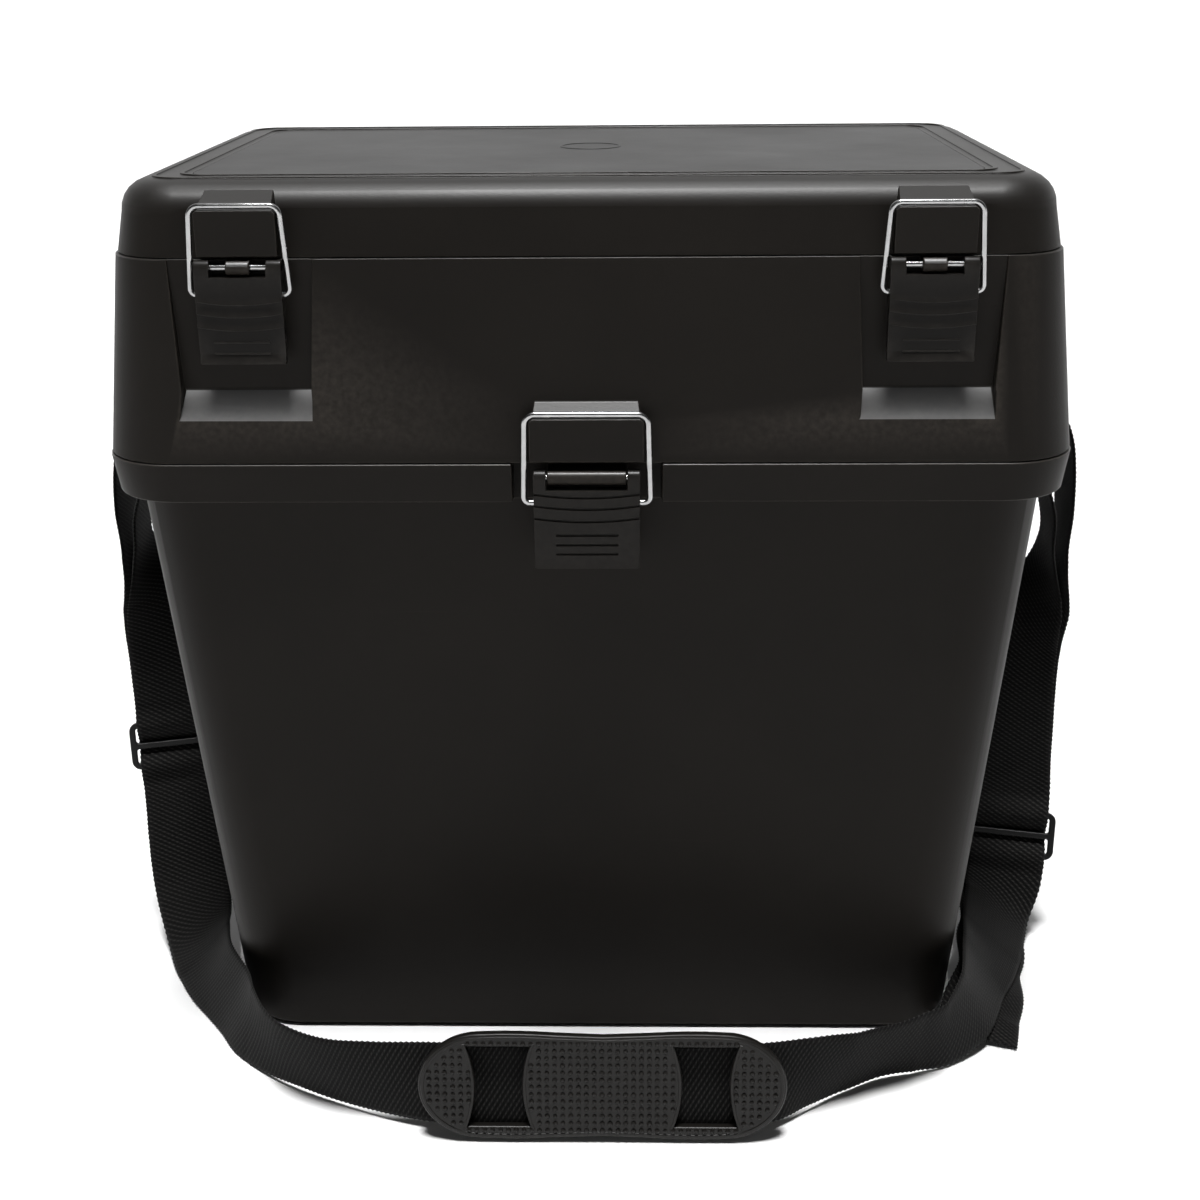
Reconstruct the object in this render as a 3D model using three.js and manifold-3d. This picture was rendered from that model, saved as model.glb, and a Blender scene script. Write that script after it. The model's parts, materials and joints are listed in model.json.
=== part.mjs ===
// Fishing seat box: a tapered tub, a shallow compartment section hinged on its rim, a hinged seat lid,
// three wire-bail draw latches and a webbing shoulder strap with a rubber pad.
// Units are millimetres. The origin is the middle of the tub's underside, +Z is up, and the front faces -Y.

import * as THREE from 'three';
import { mergeVertices } from 'three/addons/utils/BufferGeometryUtils.js';
import Module from 'manifold-3d';

const wasm = await Module();
wasm.setup();

// Driving dimensions of the three shells
const tub = {
  bottomHalfX: 166,
  bottomHalfY: 110,
  topHalfX: 188,
  topHalfY: 123,
  wallHeight: 263.5,
  wall: 3,
  cornerRadius: 28,
  bottomEdge: 2.5,
};
const rim = {
  overhang: 9.5,
  height: 16.3,
  cornerRadius: 30,
  draft: 2,
  skin: 2.6,
  topPlate: 2.8,
};
const upper = {
  height: 79.6,
  taperX: 8.5,
  taperY: 9.5,
  bottomInset: 0.5,
  cornerRadius: 27,
  wall: 3,
  floor: 3,
  skirt: 6.8,
};
const lid = {
  height: 28.2,
  inset: 1,
  draft: 2.4,
  edgeRadius: 13,
  cornerRadius: 26,
  wall: 2.8,
  topPlate: 2.4,
  lipDepth: 5,
  lipWall: 2,
  lipSeat: 3.5,
};
const ridge = { width: 1.8, height: 0.7, border: 9.3 };
const seatPanel = { gap: 3, thickness: 2, cornerRadius: 9 };
const lidRib = { depth: 9, thickness: 2, count: 4 };
const seam = 0.4;
const overrun = 1;
const cutClearance = 0.3;
const cornerSteps = 8;
const edgeSteps = 6;

// Half widths and half depths that follow from the tub's top
const rimHalf = { x: tub.topHalfX + rim.overhang, y: tub.topHalfY + rim.overhang };
const upperHalf = { x: rimHalf.x - upper.taperX, y: rimHalf.y - upper.taperY };
const lidHalf = { x: upperHalf.x - lid.inset, y: upperHalf.y - lid.inset };

// Outline of the lid's top face, and of the panel in it
const lidFaceX = lidHalf.x - lid.draft - lid.edgeRadius;
const lidFaceY = lidHalf.y - lid.draft - lid.edgeRadius;
const lidFaceRadius = lid.cornerRadius - lid.edgeRadius;
const panelHalf = {
  x: lidFaceX - ridge.border - ridge.width - seatPanel.gap,
  y: lidFaceY - ridge.border - ridge.width - seatPanel.gap,
};

// Heights that follow from the stack
const rimTop = tub.wallHeight + rim.height;
const upperBottom = rimTop + seam;
const upperTop = upperBottom + upper.height;
const lidBottom = upperTop + seam;
const lidTop = lidBottom + lid.height;

// Front recess behind each side latch
const pocket = {
  outer: { top: 29.1, ledge: 26.5, foot: 27.6 },
  inner: { top: 27.9, ledge: 25.1, foot: 25.6 },
  depthAtTop: 0.7,
  ledgeHeight: 11.4,
  ledgeBottom: 17,
};
const pocketWall = 3;

// Draw latches: a lever on a pin, and a wire bail that hooks over a catch
const wire = { diameter: 2.6, sides: 8, bendSteps: 4, bendRadius: 3.6 };
const latch = {
  pinDiameter: 2.6,
  pinClearance: 0.12,
  pivotDrop: 10.4,
  headRadius: 3.2,
  tipLength: 36.8,
  frontDepth: 3.6,
  tipThickness: 3,
  shoulderDrop: 16,
  shoulderLength: 6,
  tipCurl: 1,
  tipCurlLength: 4,
  footReach: 5.2,
  sideClearance: 0.35,
  sides: 16,
  lugSides: 12,
};
const latchFromEnd = 55.5;
const sideLatch = {
  x: upperHalf.x - latchFromEnd,
  pinHeight: 77.2,
  bailTop: 33.8,
  topHalf: 16.9,
  tipHalf: 16.8,
  notchHalf: 11,
  notchDepth: 3.4,
  lugHalf: 4.7,
  bailTopHalf: 18.6,
  bailFootHalf: 20.7,
  standOff: 5,
};
const centreLatch = {
  x: 0,
  pinDrop: 4.5,
  bailTop: 35.9,
  topHalf: 21.2,
  tipHalf: 21,
  notchHalf: 16.2,
  notchDepth: 4.6,
  lugHalf: 15.8,
  bailTopHalf: 25.6,
  bailFootHalf: 26.5,
  standOff: 2.7,
};
const catchFoot = 1.6;
const catchRamp = { step: 2, height: 4.2, lean: 10 };
const centreRamp = { step: 0.8, height: 6, lean: 5.5 };
const grip = { sag: 1.7, steps: 8 };
const gripLipDropShares = [0.38, 0.51, 0.65];
const gripLip = { height: 4.2, proud: 0.8 };
const gripLine = { half: 11, thickness: 0.7, proud: 0.4 };
const gripLineDropShares = [0.77, 0.89];
const gripGroove = { thickness: 0.9, depth: 0.9 };
const gripSlot = { half: 12.5, thickness: 0.9, depth: 0.9 };
const gripSlotDropShares = [0.63, 0.74, 0.845];
const notch = { half: 30, wallLeft: 1.5 };

// Hinges at the back: moulded knuckles on a steel pin
const hinge = {
  x: 112,
  radius: 4.6,
  standOff: 5.6,
  pinDiameter: 4,
  pinClearance: 0.15,
  knuckle: 12,
  gap: 0.4,
  webDrop: 12,
  sides: 16,
  pinProud: 0.5,
};

// Strap anchors at the rim's two ends: a steel bar between two moulded ears
const anchor = {
  standOff: 9,
  drop: 8.8,
  barDiameter: 5,
  barClearance: 0.15,
  earGap: 41.2,
  earThickness: 5,
  earRadius: 7.5,
  sides: 12,
};

// Webbing, sliders and the shoulder pad
const webbing = { width: 38, thickness: 1.8, stepsPerRow: 2, twistPerStep: 0.12, weaveSteps: 9, measuresPerRow: 60 };
const slider = { width: 46, height: 24, thickness: 3, bar: 3, endBar: 3, clearance: 0.8 };
const pad = {
  x: 5.1,
  y: -183.5,
  z: 24.8,
  leanBack: 7,
  leanRise: 50,
  halfLength: 77.4,
  halfHeight: 24.2,
  outlineSteps: 32,
  outlinePower: 0.5,
  waistShare: 0.94,
  thickness: 4.2,
  windowX: 43.5,
  windowHalf: 13.6,
  windowHalfHeight: 18.2,
  windowBulge: 3.7,
  sleeveX: 17,
  sleeveDrop: 2.2,
  sleeveHalf: 8,
  sleeveWall: 1.8,
  webbingClearance: 1.1,
};

// Colours and finishes
const finish = (color, roughness, metalness) => new THREE.MeshStandardMaterial({ color, roughness, metalness });
const blackShell = () => finish(0x1e1c1a, 0.55, 0);
const blackLatch = () => finish(0x151413, 0.45, 0);
const panelFinish = () => finish(0x24221f, 0.7, 0);
const steel = () => finish(0xc8c8c6, 0.25, 1);
const blackWebbing = () => finish(0x0d0e0a, 0.9, 0);
const blackRubber = () => finish(0x262220, 0.8, 0);
const blackSlider = () => finish(0x121110, 0.4, 0);

// Turns a closed three.js geometry into a solid that can be cut and joined
function solid(geometry) {
  const bare = geometry.clone();
  bare.deleteAttribute('normal');
  bare.deleteAttribute('uv');
  const merged = mergeVertices(bare, 1e-4);
  return new wasm.Manifold(new wasm.Mesh({
    numProp: 3,
    vertProperties: new Float32Array(merged.attributes.position.array),
    triVerts: new Uint32Array(merged.index.array),
  }));
}

// Turns a solid back into a named mesh with flat shading
function piece(name, shape, material) {
  const { numProp, vertProperties, triVerts } = shape.getMesh();
  const points = new Float32Array(triVerts.length * 3);
  triVerts.forEach((vertex, i) => {
    for (let k = 0; k < 3; k += 1) {
      points[i * 3 + k] = vertProperties[vertex * numProp + k];
    }
  });
  const geometry = new THREE.BufferGeometry();
  geometry.setAttribute('position', new THREE.BufferAttribute(points, 3));
  geometry.computeVertexNormals();
  const mesh = new THREE.Mesh(geometry, material);
  mesh.name = name;
  return mesh;
}

// A level rounded-rectangle outline
function roundedRing(halfX, halfY, radius, z) {
  const points = [];
  const corners = [[1, 1], [-1, 1], [-1, -1], [1, -1]];
  corners.forEach(([sx, sy], corner) => {
    for (let i = 0; i <= cornerSteps; i += 1) {
      const angle = (corner + i / cornerSteps) * (Math.PI / 2);
      const x = sx * (halfX - radius) + radius * Math.cos(angle);
      const y = sy * (halfY - radius) + radius * Math.sin(angle);
      points.push(new THREE.Vector3(x, y, z));
    }
  });
  return points;
}

// A closed skin through outlines that have the same number of points, with flat ends
function loft(rings) {
  const count = rings[0].length;
  const positions = rings.flatMap((ring) => ring.flatMap((p) => [p.x, p.y, p.z]));
  const index = [];
  for (let r = 0; r + 1 < rings.length; r += 1) {
    for (let i = 0; i < count; i += 1) {
      const next = (i + 1) % count;
      const a = r * count + i;
      const b = r * count + next;
      index.push(a, b, b + count, a, b + count, a + count);
    }
  }
  const last = (rings.length - 1) * count;
  for (let i = 1; i + 1 < count; i += 1) {
    index.push(0, i + 1, i);
    index.push(last, last + i, last + i + 1);
  }
  const geometry = new THREE.BufferGeometry();
  geometry.setAttribute('position', new THREE.Float32BufferAttribute(positions, 3));
  geometry.setIndex(index);
  return solid(geometry);
}

function block([x0, x1], [y0, y1], [z0, z1]) {
  const geometry = new THREE.BoxGeometry(x1 - x0, y1 - y0, z1 - z0);
  geometry.translate((x0 + x1) / 2, (y0 + y1) / 2, (z0 + z1) / 2);
  return solid(geometry);
}

// A side profile, drawn as [y, z] points, pushed across from x0 to x1
function across(profile, x0, x1) {
  const shape = new THREE.Shape(profile.map(([y, z]) => new THREE.Vector2(y, z)));
  const geometry = new THREE.ExtrudeGeometry(shape, { depth: x1 - x0, bevelEnabled: false, curveSegments: 12 });
  const basis = new THREE.Matrix4().makeBasis(
    new THREE.Vector3(0, 1, 0),
    new THREE.Vector3(0, 0, 1),
    new THREE.Vector3(1, 0, 0),
  );
  geometry.applyMatrix4(basis);
  geometry.translate(x0, 0, 0);
  return solid(geometry);
}

// A front profile, drawn as [x, z] points, pushed back from y0 to y1
function backwards(profile, y0, y1) {
  const shape = new THREE.Shape(profile.map(([x, z]) => new THREE.Vector2(x, z)));
  const geometry = new THREE.ExtrudeGeometry(shape, { depth: y1 - y0, bevelEnabled: false });
  geometry.rotateX(Math.PI / 2);
  geometry.translate(0, y1, 0);
  return solid(geometry);
}

// Round bars along X and along Y, centred on the two other places
function barX(radius, [x0, x1], y, z, sides) {
  const geometry = new THREE.CylinderGeometry(radius, radius, x1 - x0, sides);
  geometry.rotateY(Math.PI / sides);
  geometry.rotateZ(Math.PI / 2);
  geometry.translate((x0 + x1) / 2, y, z);
  return solid(geometry);
}

function barY(radius, [y0, y1], x, z, sides) {
  const geometry = new THREE.CylinderGeometry(radius, radius, y1 - y0, sides);
  geometry.translate(x, (y0 + y1) / 2, z);
  return solid(geometry);
}

const both = [-1, 1];
const sideName = (side) => (side < 0 ? 'left' : 'right');

// Half depth of the outer shells at a height
const lerp = THREE.MathUtils.lerp;
const tubShare = (z) => z / tub.wallHeight;
const upperShare = (z) => (z - upperBottom) / upper.height;
const upperHalfY = (z) => lerp(rimHalf.y - upper.bottomInset, upperHalf.y, upperShare(z));
const upperHalfX = (z) => lerp(rimHalf.x - upper.bottomInset, upperHalf.x, upperShare(z));
const tubHalfX = (z) => lerp(tub.bottomHalfX, tub.topHalfX, tubShare(z));
const tubHalfY = (z) => lerp(tub.bottomHalfY, tub.topHalfY, tubShare(z));

// The places of each latch's pin
const sidePin = { y: -(lidHalf.y + sideLatch.standOff + pocket.depthAtTop), z: upperBottom + sideLatch.pinHeight };
const centrePin = { y: -(rimHalf.y + centreLatch.standOff), z: rimTop - centreLatch.pinDrop };

// The hinge axes
const lidAxis = { y: upperHalf.y + hinge.standOff, z: upperTop + seam / 2 };
const upperAxis = { y: rimHalf.y + hinge.standOff, z: rimTop + seam / 2 };

// Knuckles of one hinge leaf: the middle knuckle belongs to the leaf above, the outer two to the leaf below
function knuckles(axis, wallY, above) {
  const half = hinge.knuckle / 2;
  const spans = above
    ? [[-half, half]]
    : [[half + hinge.gap, half + hinge.gap + hinge.knuckle], [-half - hinge.gap - hinge.knuckle, -half - hinge.gap]];
  const flush = above ? axis.z + seam / 2 : axis.z - seam / 2;
  const far = above ? axis.z + hinge.webDrop : axis.z - hinge.webDrop;
  const shapes = both.flatMap((side) => spans.map(([a, b]) => {
    const span = [side * hinge.x + a, side * hinge.x + b];
    const barrel = barX(hinge.radius, span, axis.y, axis.z, hinge.sides);
    const profile = [
      [wallY - overrun, flush],
      [axis.y, flush],
      [axis.y - hinge.radius, far],
      [wallY - overrun, far],
    ];
    return barrel.add(across(above ? profile : profile.reverse(), ...span));
  }));
  return shapes.reduce((sum, next) => sum.add(next));
}

function hingeBores(axis) {
  const reach = hinge.knuckle * 2;
  const radius = hinge.pinDiameter / 2 + hinge.pinClearance;
  return both
    .map((side) => barX(radius, [side * hinge.x - reach, side * hinge.x + reach], axis.y, axis.z, hinge.sides))
    .reduce((sum, next) => sum.add(next));
}

// The lug that carries a latch's pin, in the latch's own place, from the wall at depth back to the pin
function pinLug(spec, back, headroom) {
  const radius = latch.headRadius - cutClearance;
  const flat = radius * Math.cos(Math.PI / latch.lugSides);
  const bar = barX(radius, [-spec.lugHalf, spec.lugHalf], 0, 0, latch.lugSides);
  const root = block([-spec.lugHalf, spec.lugHalf], [0, back], [-flat, Math.min(flat, headroom)]);
  const bore = barX(
    latch.pinDiameter / 2 + latch.pinClearance,
    [-spec.lugHalf - overrun, spec.lugHalf + overrun],
    0,
    0,
    latch.sides,
  );
  return bar.add(root).subtract(bore);
}

// Tub: tapered shell with a thick-skinned rim band, a notch for the centre latch, hinge knuckles and strap ears
function makeTub() {
  const outer = loft([
    roundedRing(tub.bottomHalfX - tub.bottomEdge, tub.bottomHalfY - tub.bottomEdge, tub.cornerRadius, 0),
    roundedRing(tubHalfX(tub.bottomEdge), tubHalfY(tub.bottomEdge), tub.cornerRadius, tub.bottomEdge),
    roundedRing(tub.topHalfX, tub.topHalfY, tub.cornerRadius, tub.wallHeight),
    roundedRing(rimHalf.x - rim.draft, rimHalf.y - rim.draft, rim.cornerRadius, tub.wallHeight),
    roundedRing(rimHalf.x, rimHalf.y, rim.cornerRadius, rimTop),
  ]);
  const innerRadius = tub.cornerRadius - tub.wall;
  const inner = loft([
    roundedRing(tubHalfX(tub.wall) - tub.wall, tubHalfY(tub.wall) - tub.wall, innerRadius, tub.wall),
    roundedRing(tubHalfX(rimTop) - tub.wall, tubHalfY(rimTop) - tub.wall, innerRadius, rimTop + overrun),
  ]);
  const grooveTop = rimTop - rim.topPlate;
  const grooveOuter = loft([
    roundedRing(rimHalf.x - rim.draft - rim.skin, rimHalf.y - rim.draft - rim.skin, rim.cornerRadius - rim.skin,
      tub.wallHeight - overrun),
    roundedRing(rimHalf.x - rim.draft - rim.skin, rimHalf.y - rim.draft - rim.skin, rim.cornerRadius - rim.skin,
      grooveTop),
  ]);
  const grooveCore = loft([
    roundedRing(tubHalfX(tub.wallHeight - overrun), tubHalfY(tub.wallHeight - overrun), tub.cornerRadius,
      tub.wallHeight - overrun),
    roundedRing(tubHalfX(grooveTop), tubHalfY(grooveTop), tub.cornerRadius, grooveTop),
  ]);
  const earReach = anchor.earGap / 2 + anchor.earThickness;
  const keepSolid = [
    block([-notch.half - rim.skin, notch.half + rim.skin], [-rimHalf.y, 0], [tub.wallHeight - overrun, rimTop]),
    block([-rimHalf.x, rimHalf.x], [-earReach, earReach], [tub.wallHeight - overrun, rimTop]),
    ...both.map((side) => block(
      [side * hinge.x - hinge.knuckle * 2, side * hinge.x + hinge.knuckle * 2],
      [0, rimHalf.y],
      [tub.wallHeight - overrun, rimTop],
    )),
  ];
  const groove = keepSolid.reduce((sum, next) => sum.subtract(next), grooveOuter.subtract(grooveCore));
  const notchCut = block(
    [-notch.half, notch.half],
    [-rimHalf.y - overrun, -tubHalfY(rimTop) - notch.wallLeft],
    [tub.wallHeight - overrun, rimTop + overrun],
  );
  const lug = pinLug(centreLatch, -centrePin.y - tub.topHalfY, rimTop - centrePin.z)
    .translate([0, centrePin.y, centrePin.z]);
  const ears = both.flatMap((side) => both.map((end) => {
    const inside = end * (anchor.earGap / 2);
    const outside = end * earReach;
    const span = [Math.min(inside, outside), Math.max(inside, outside)];
    const barrel = barY(anchor.earRadius, span, side * (rimHalf.x + anchor.standOff), rimTop - anchor.drop, anchor.sides);
    const xs = [side * (tub.topHalfX + tub.wall), side * (rimHalf.x + anchor.standOff)];
    const root = block([Math.min(...xs), Math.max(...xs)], span,
      [rimTop - anchor.drop - anchor.earRadius, rimTop - anchor.drop + anchor.earRadius]);
    return barrel.add(root);
  })).reduce((sum, next) => sum.add(next));
  const anchorBores = both.map((side) => barY(
    anchor.barDiameter / 2 + anchor.barClearance,
    [-earReach - overrun, earReach + overrun],
    side * (rimHalf.x + anchor.standOff),
    rimTop - anchor.drop,
    anchor.sides,
  )).reduce((sum, next) => sum.add(next));
  const shell = outer.subtract(groove).subtract(notchCut).add(knuckles(upperAxis, rimHalf.y, false));
  return shell
    .subtract(inner)
    .add(lug)
    .add(ears)
    .subtract(anchorBores)
    .subtract(hingeBores(upperAxis));
}

// One front recess: a vertical back face that ends below in a flared ramp
function pocketCut(side) {
  const backY = -(upperHalf.y - pocket.depthAtTop);
  const ledgeLow = upperBottom + pocket.ledgeBottom;
  const ledgeHigh = ledgeLow + pocket.ledgeHeight;
  const frontLow = -upperHalfY(ledgeLow);
  const well = across([
    [backY, upperTop + overrun],
    [backY, ledgeHigh],
    [frontLow, ledgeLow],
    [frontLow - overrun, ledgeLow],
    [frontLow - overrun, upperTop + overrun],
  ], -pocket.outer.top, pocket.outer.top);
  const left = side < 0 ? pocket.outer : pocket.inner;
  const right = side < 0 ? pocket.inner : pocket.outer;
  const outline = backwards([
    [-left.top, upperTop + overrun],
    [-left.ledge, ledgeHigh],
    [-left.foot, ledgeLow],
    [right.foot, ledgeLow],
    [right.ledge, ledgeHigh],
    [right.top, upperTop + overrun],
  ], frontLow - overrun, backY + overrun);
  return well.intersect(outline).translate([side * sideLatch.x, 0, 0]);
}

// A catch: a block under the bail's bar, a shelf that the bar rests on and a ramp behind it
function catchBlock(spec, pin, bottom, ramp) {
  const shelf = pin.z - latch.pivotDrop + spec.bailTop - wire.diameter / 2 - cutClearance;
  const front = pin.y - wire.diameter / 2;
  const back = pin.y + wire.diameter / 2 + cutClearance;
  const half = spec.bailTopHalf - wire.diameter - latch.sideClearance;
  const root = back + ramp.lean + catchRamp.lean;
  const chamfer = wire.bendRadius / 3;
  const top = shelf + ramp.step + ramp.height;
  const outline = backwards([
    [-half, bottom],
    [half, bottom],
    [half, shelf - chamfer],
    [half - chamfer, shelf],
    [half - chamfer * 2, top],
    [-half + chamfer * 2, top],
    [-half + chamfer, shelf],
    [-half, shelf - chamfer],
  ], front - overrun, root + overrun);
  const side = across([
    [front, bottom],
    [root, bottom],
    [root, shelf - ramp.height],
    [back + ramp.lean, top],
    [back, shelf + ramp.step],
    [back, shelf],
    [front, shelf],
  ], -half, half);
  return side.intersect(outline).translate([spec.x, 0, 0]);
}

// Upper section: the shallow compartment that hinges on the tub's rim
function makeUpper() {
  const outer = loft([
    roundedRing(rimHalf.x - upper.bottomInset, rimHalf.y - upper.bottomInset, rim.cornerRadius, upperBottom),
    roundedRing(upperHalf.x, upperHalf.y, upper.cornerRadius, upperTop),
  ]);
  const floorTop = upperBottom + upper.skirt + upper.floor;
  const innerRadius = upper.cornerRadius - upper.wall;
  const insideRing = (z) => roundedRing(upperHalfX(z) - upper.wall, upperHalfY(z) - upper.wall, innerRadius, z);
  const compartment = loft([insideRing(floorTop), insideRing(upperTop + overrun)]);
  const underside = loft([insideRing(upperBottom - overrun), insideRing(upperBottom + upper.skirt)]);
  const backing = both.map((side) => block(
    [side * sideLatch.x - pocket.outer.top - pocketWall * 2, side * sideLatch.x + pocket.outer.top + pocketWall * 2],
    [-rimHalf.y, -(upperHalf.y - pocket.depthAtTop) + pocketWall],
    [floorTop - upper.floor / 2, upperTop + overrun * 2],
  )).reduce((sum, next) => sum.add(next));
  const centreCatch = catchBlock(centreLatch, centrePin, upperBottom + catchFoot, centreRamp);
  const lugs = both.map((side) => pinLug(sideLatch, -sidePin.y - upperHalf.y + pocketWall, upperTop - sidePin.z)
    .translate([side * sideLatch.x, sidePin.y, sidePin.z])).reduce((sum, next) => sum.add(next));
  const pockets = both.map(pocketCut).reduce((sum, next) => sum.add(next));
  return outer
    .add(centreCatch)
    .add(knuckles(lidAxis, upperHalf.y, false))
    .add(knuckles(upperAxis, upperHalfY(upperBottom + hinge.webDrop) - overrun, true))
    .subtract(compartment.subtract(backing))
    .subtract(underside)
    .subtract(pockets)
    .add(lugs)
    .subtract(hingeBores(lidAxis))
    .subtract(hingeBores(upperAxis));
}

// The lid's outer skin, moved in by an inset: a drafted side and a rounded top edge
function lidSkin(inset, bottom, top) {
  const rings = [roundedRing(lidHalf.x - inset, lidHalf.y - inset, lid.cornerRadius - inset, bottom)];
  for (let i = 0; i <= edgeSteps; i += 1) {
    const angle = (i / edgeSteps) * (Math.PI / 2);
    const out = lid.edgeRadius * Math.cos(angle) - inset;
    const z = top - lid.edgeRadius + lid.edgeRadius * Math.sin(angle);
    rings.push(roundedRing(lidFaceX + out, lidFaceY + out, lidFaceRadius + out, z));
  }
  return loft(rings);
}

function frameRidge(halfX, halfY, radius) {
  const low = lidTop - lid.topPlate;
  const high = lidTop + ridge.height;
  const outer = loft([roundedRing(halfX, halfY, radius, low), roundedRing(halfX, halfY, radius, high)]);
  const inner = loft([
    roundedRing(halfX - ridge.width, halfY - ridge.width, radius - ridge.width, low - overrun),
    roundedRing(halfX - ridge.width, halfY - ridge.width, radius - ridge.width, high + overrun),
  ]);
  return outer.subtract(inner);
}

// Lid: a drafted shell with two ridges round the seat panel's recess, ribs, a locating lip and two catches
function makeLid() {
  const cavityTop = lidTop - seatPanel.thickness - lid.topPlate;
  const cavity = lidSkin(lid.wall, lidBottom - overrun, cavityTop);
  const lipOuter = pocketWall + pocket.depthAtTop + cutClearance - (upperHalf.x - lidHalf.x);
  const lipInner = lipOuter + lid.lipWall;
  const lipRings = (inset, low, high) => loft([
    roundedRing(lidHalf.x - inset, lidHalf.y - inset, lid.cornerRadius - inset, low),
    roundedRing(lidHalf.x - inset, lidHalf.y - inset, lid.cornerRadius - inset, high),
  ]);
  const lip = lipRings(lipOuter, lidBottom - lid.lipDepth, lidBottom + overrun)
    .add(lipRings(lid.draft, lidBottom, lidBottom + lid.lipSeat))
    .subtract(lipRings(lipInner, lidBottom - lid.lipDepth - overrun, lidBottom + lid.lipSeat + overrun));
  const ribs = [];
  const half = lidRib.thickness / 2;
  for (let i = 0; i < lidRib.count; i += 1) {
    const x = lerp(-panelHalf.x, panelHalf.x, (i + 1) / (lidRib.count + 1));
    ribs.push(block([x - half, x + half], [-lidFaceY, lidFaceY], [cavityTop - lidRib.depth, lidTop - lid.topPlate]));
  }
  both.forEach((side) => {
    const y = (side * panelHalf.y) / 2;
    ribs.push(block([-lidFaceX, lidFaceX], [y - half, y + half], [cavityTop - lidRib.depth, lidTop - lid.topPlate]));
  });
  const recess = loft([
    roundedRing(panelHalf.x + cutClearance, panelHalf.y + cutClearance, seatPanel.cornerRadius,
      lidTop - seatPanel.thickness - cutClearance),
    roundedRing(panelHalf.x + cutClearance, panelHalf.y + cutClearance, seatPanel.cornerRadius,
      lidTop + ridge.height + overrun),
  ]);
  const catches = both
    .map((side) => catchBlock({ ...sideLatch, x: side * sideLatch.x }, sidePin, lidBottom + catchFoot, catchRamp))
    .reduce((sum, next) => sum.add(next));
  const innerRidgeX = lidFaceX - ridge.border;
  const innerRidgeY = lidFaceY - ridge.border;
  const shell = lidSkin(0, lidBottom, lidTop)
    .add(catches)
    .add(frameRidge(lidFaceX, lidFaceY, lidFaceRadius))
    .add(frameRidge(innerRidgeX, innerRidgeY, seatPanel.cornerRadius + ridge.width + cutClearance))
    .add(knuckles(lidAxis, lidHalf.y, true))
    .subtract(cavity)
    .add(lip);
  return ribs.reduce((sum, rib) => sum.add(rib), shell)
    .subtract(recess)
    .subtract(hingeBores(lidAxis));
}

function makeSeatPanel() {
  return loft([
    roundedRing(panelHalf.x, panelHalf.y, seatPanel.cornerRadius, 0),
    roundedRing(panelHalf.x, panelHalf.y, seatPanel.cornerRadius, seatPanel.thickness),
  ]);
}

// A curved bar on a lever's face, lower in its middle
function smile(half, sag, thickness, drop, y0, y1) {
  const low = [];
  const high = [];
  for (let i = 0; i <= grip.steps; i += 1) {
    const share = (2 * i) / grip.steps - 1;
    const z = -drop + sag * share * share;
    low.push([share * half, z - thickness / 2]);
    high.unshift([share * half, z + thickness / 2]);
  }
  return backwards([...low, ...high], y0, y1);
}

// A raised lip on a lever's face: a curved wedge, proud at its lower edge
function lip(half, drop, front) {
  const rings = [];
  for (let i = 0; i <= grip.steps; i += 1) {
    const share = (2 * i) / grip.steps - 1;
    const low = -drop + grip.sag * share * share;
    rings.push([
      new THREE.Vector3(share * half, front - gripLip.proud, low),
      new THREE.Vector3(share * half, front + cutClearance, low),
      new THREE.Vector3(share * half, front + cutClearance, low + gripLip.height),
    ]);
  }
  return loft(rings);
}

// A lever in its own place: the pin's axis is the X axis, and the lever hangs down in front of the wall
function makeLever(spec, addGrip) {
  const front = -latch.frontDepth;
  const profile = [];
  for (let i = 0; i <= latch.sides / 2; i += 1) {
    const angle = Math.PI * (i / (latch.sides / 2));
    profile.push([latch.headRadius * Math.cos(angle), latch.headRadius * Math.sin(angle)]);
  }
  profile.push([front, -latch.headRadius]);
  profile.push([front, -latch.tipLength + latch.tipCurlLength]);
  profile.push([front - latch.tipCurl, -latch.tipLength]);
  profile.push([front - latch.tipCurl + latch.tipThickness, -latch.tipLength]);
  profile.push([front + latch.tipThickness, -latch.tipLength + latch.tipCurlLength]);
  profile.push([front + latch.tipThickness, -latch.shoulderDrop - latch.shoulderLength]);
  profile.push([latch.headRadius - cutClearance, -latch.shoulderDrop]);
  const widest = Math.max(spec.topHalf, spec.tipHalf);
  const bar = across(profile, -widest, widest);
  const outline = backwards([
    [-spec.tipHalf, -latch.tipLength],
    [spec.tipHalf, -latch.tipLength],
    [spec.topHalf, latch.headRadius + overrun],
    [-spec.topHalf, latch.headRadius + overrun],
  ], front - latch.tipCurl - overrun, latch.headRadius + overrun);
  const notchCut = block(
    [-spec.notchHalf, spec.notchHalf],
    [front - overrun, latch.headRadius + overrun],
    [-spec.notchDepth, latch.headRadius + overrun],
  );
  const pinBore = barX(
    latch.pinDiameter / 2 + latch.pinClearance,
    [-widest - overrun, widest + overrun],
    0,
    0,
    latch.sides,
  );
  const footRadius = wire.diameter / 2 + latch.pinClearance;
  const footBores = both.map((side) => {
    const xs = [side * (spec.bailFootHalf + overrun), side * (spec.topHalf - latch.footReach - overrun)];
    return barX(footRadius, [Math.min(...xs), Math.max(...xs)], 0, -latch.pivotDrop, latch.sides);
  });
  const body = bar.intersect(outline).subtract(notchCut).subtract(pinBore);
  return addGrip(footBores.reduce((sum, next) => sum.subtract(next), body), front, spec, outline);
}

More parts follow.
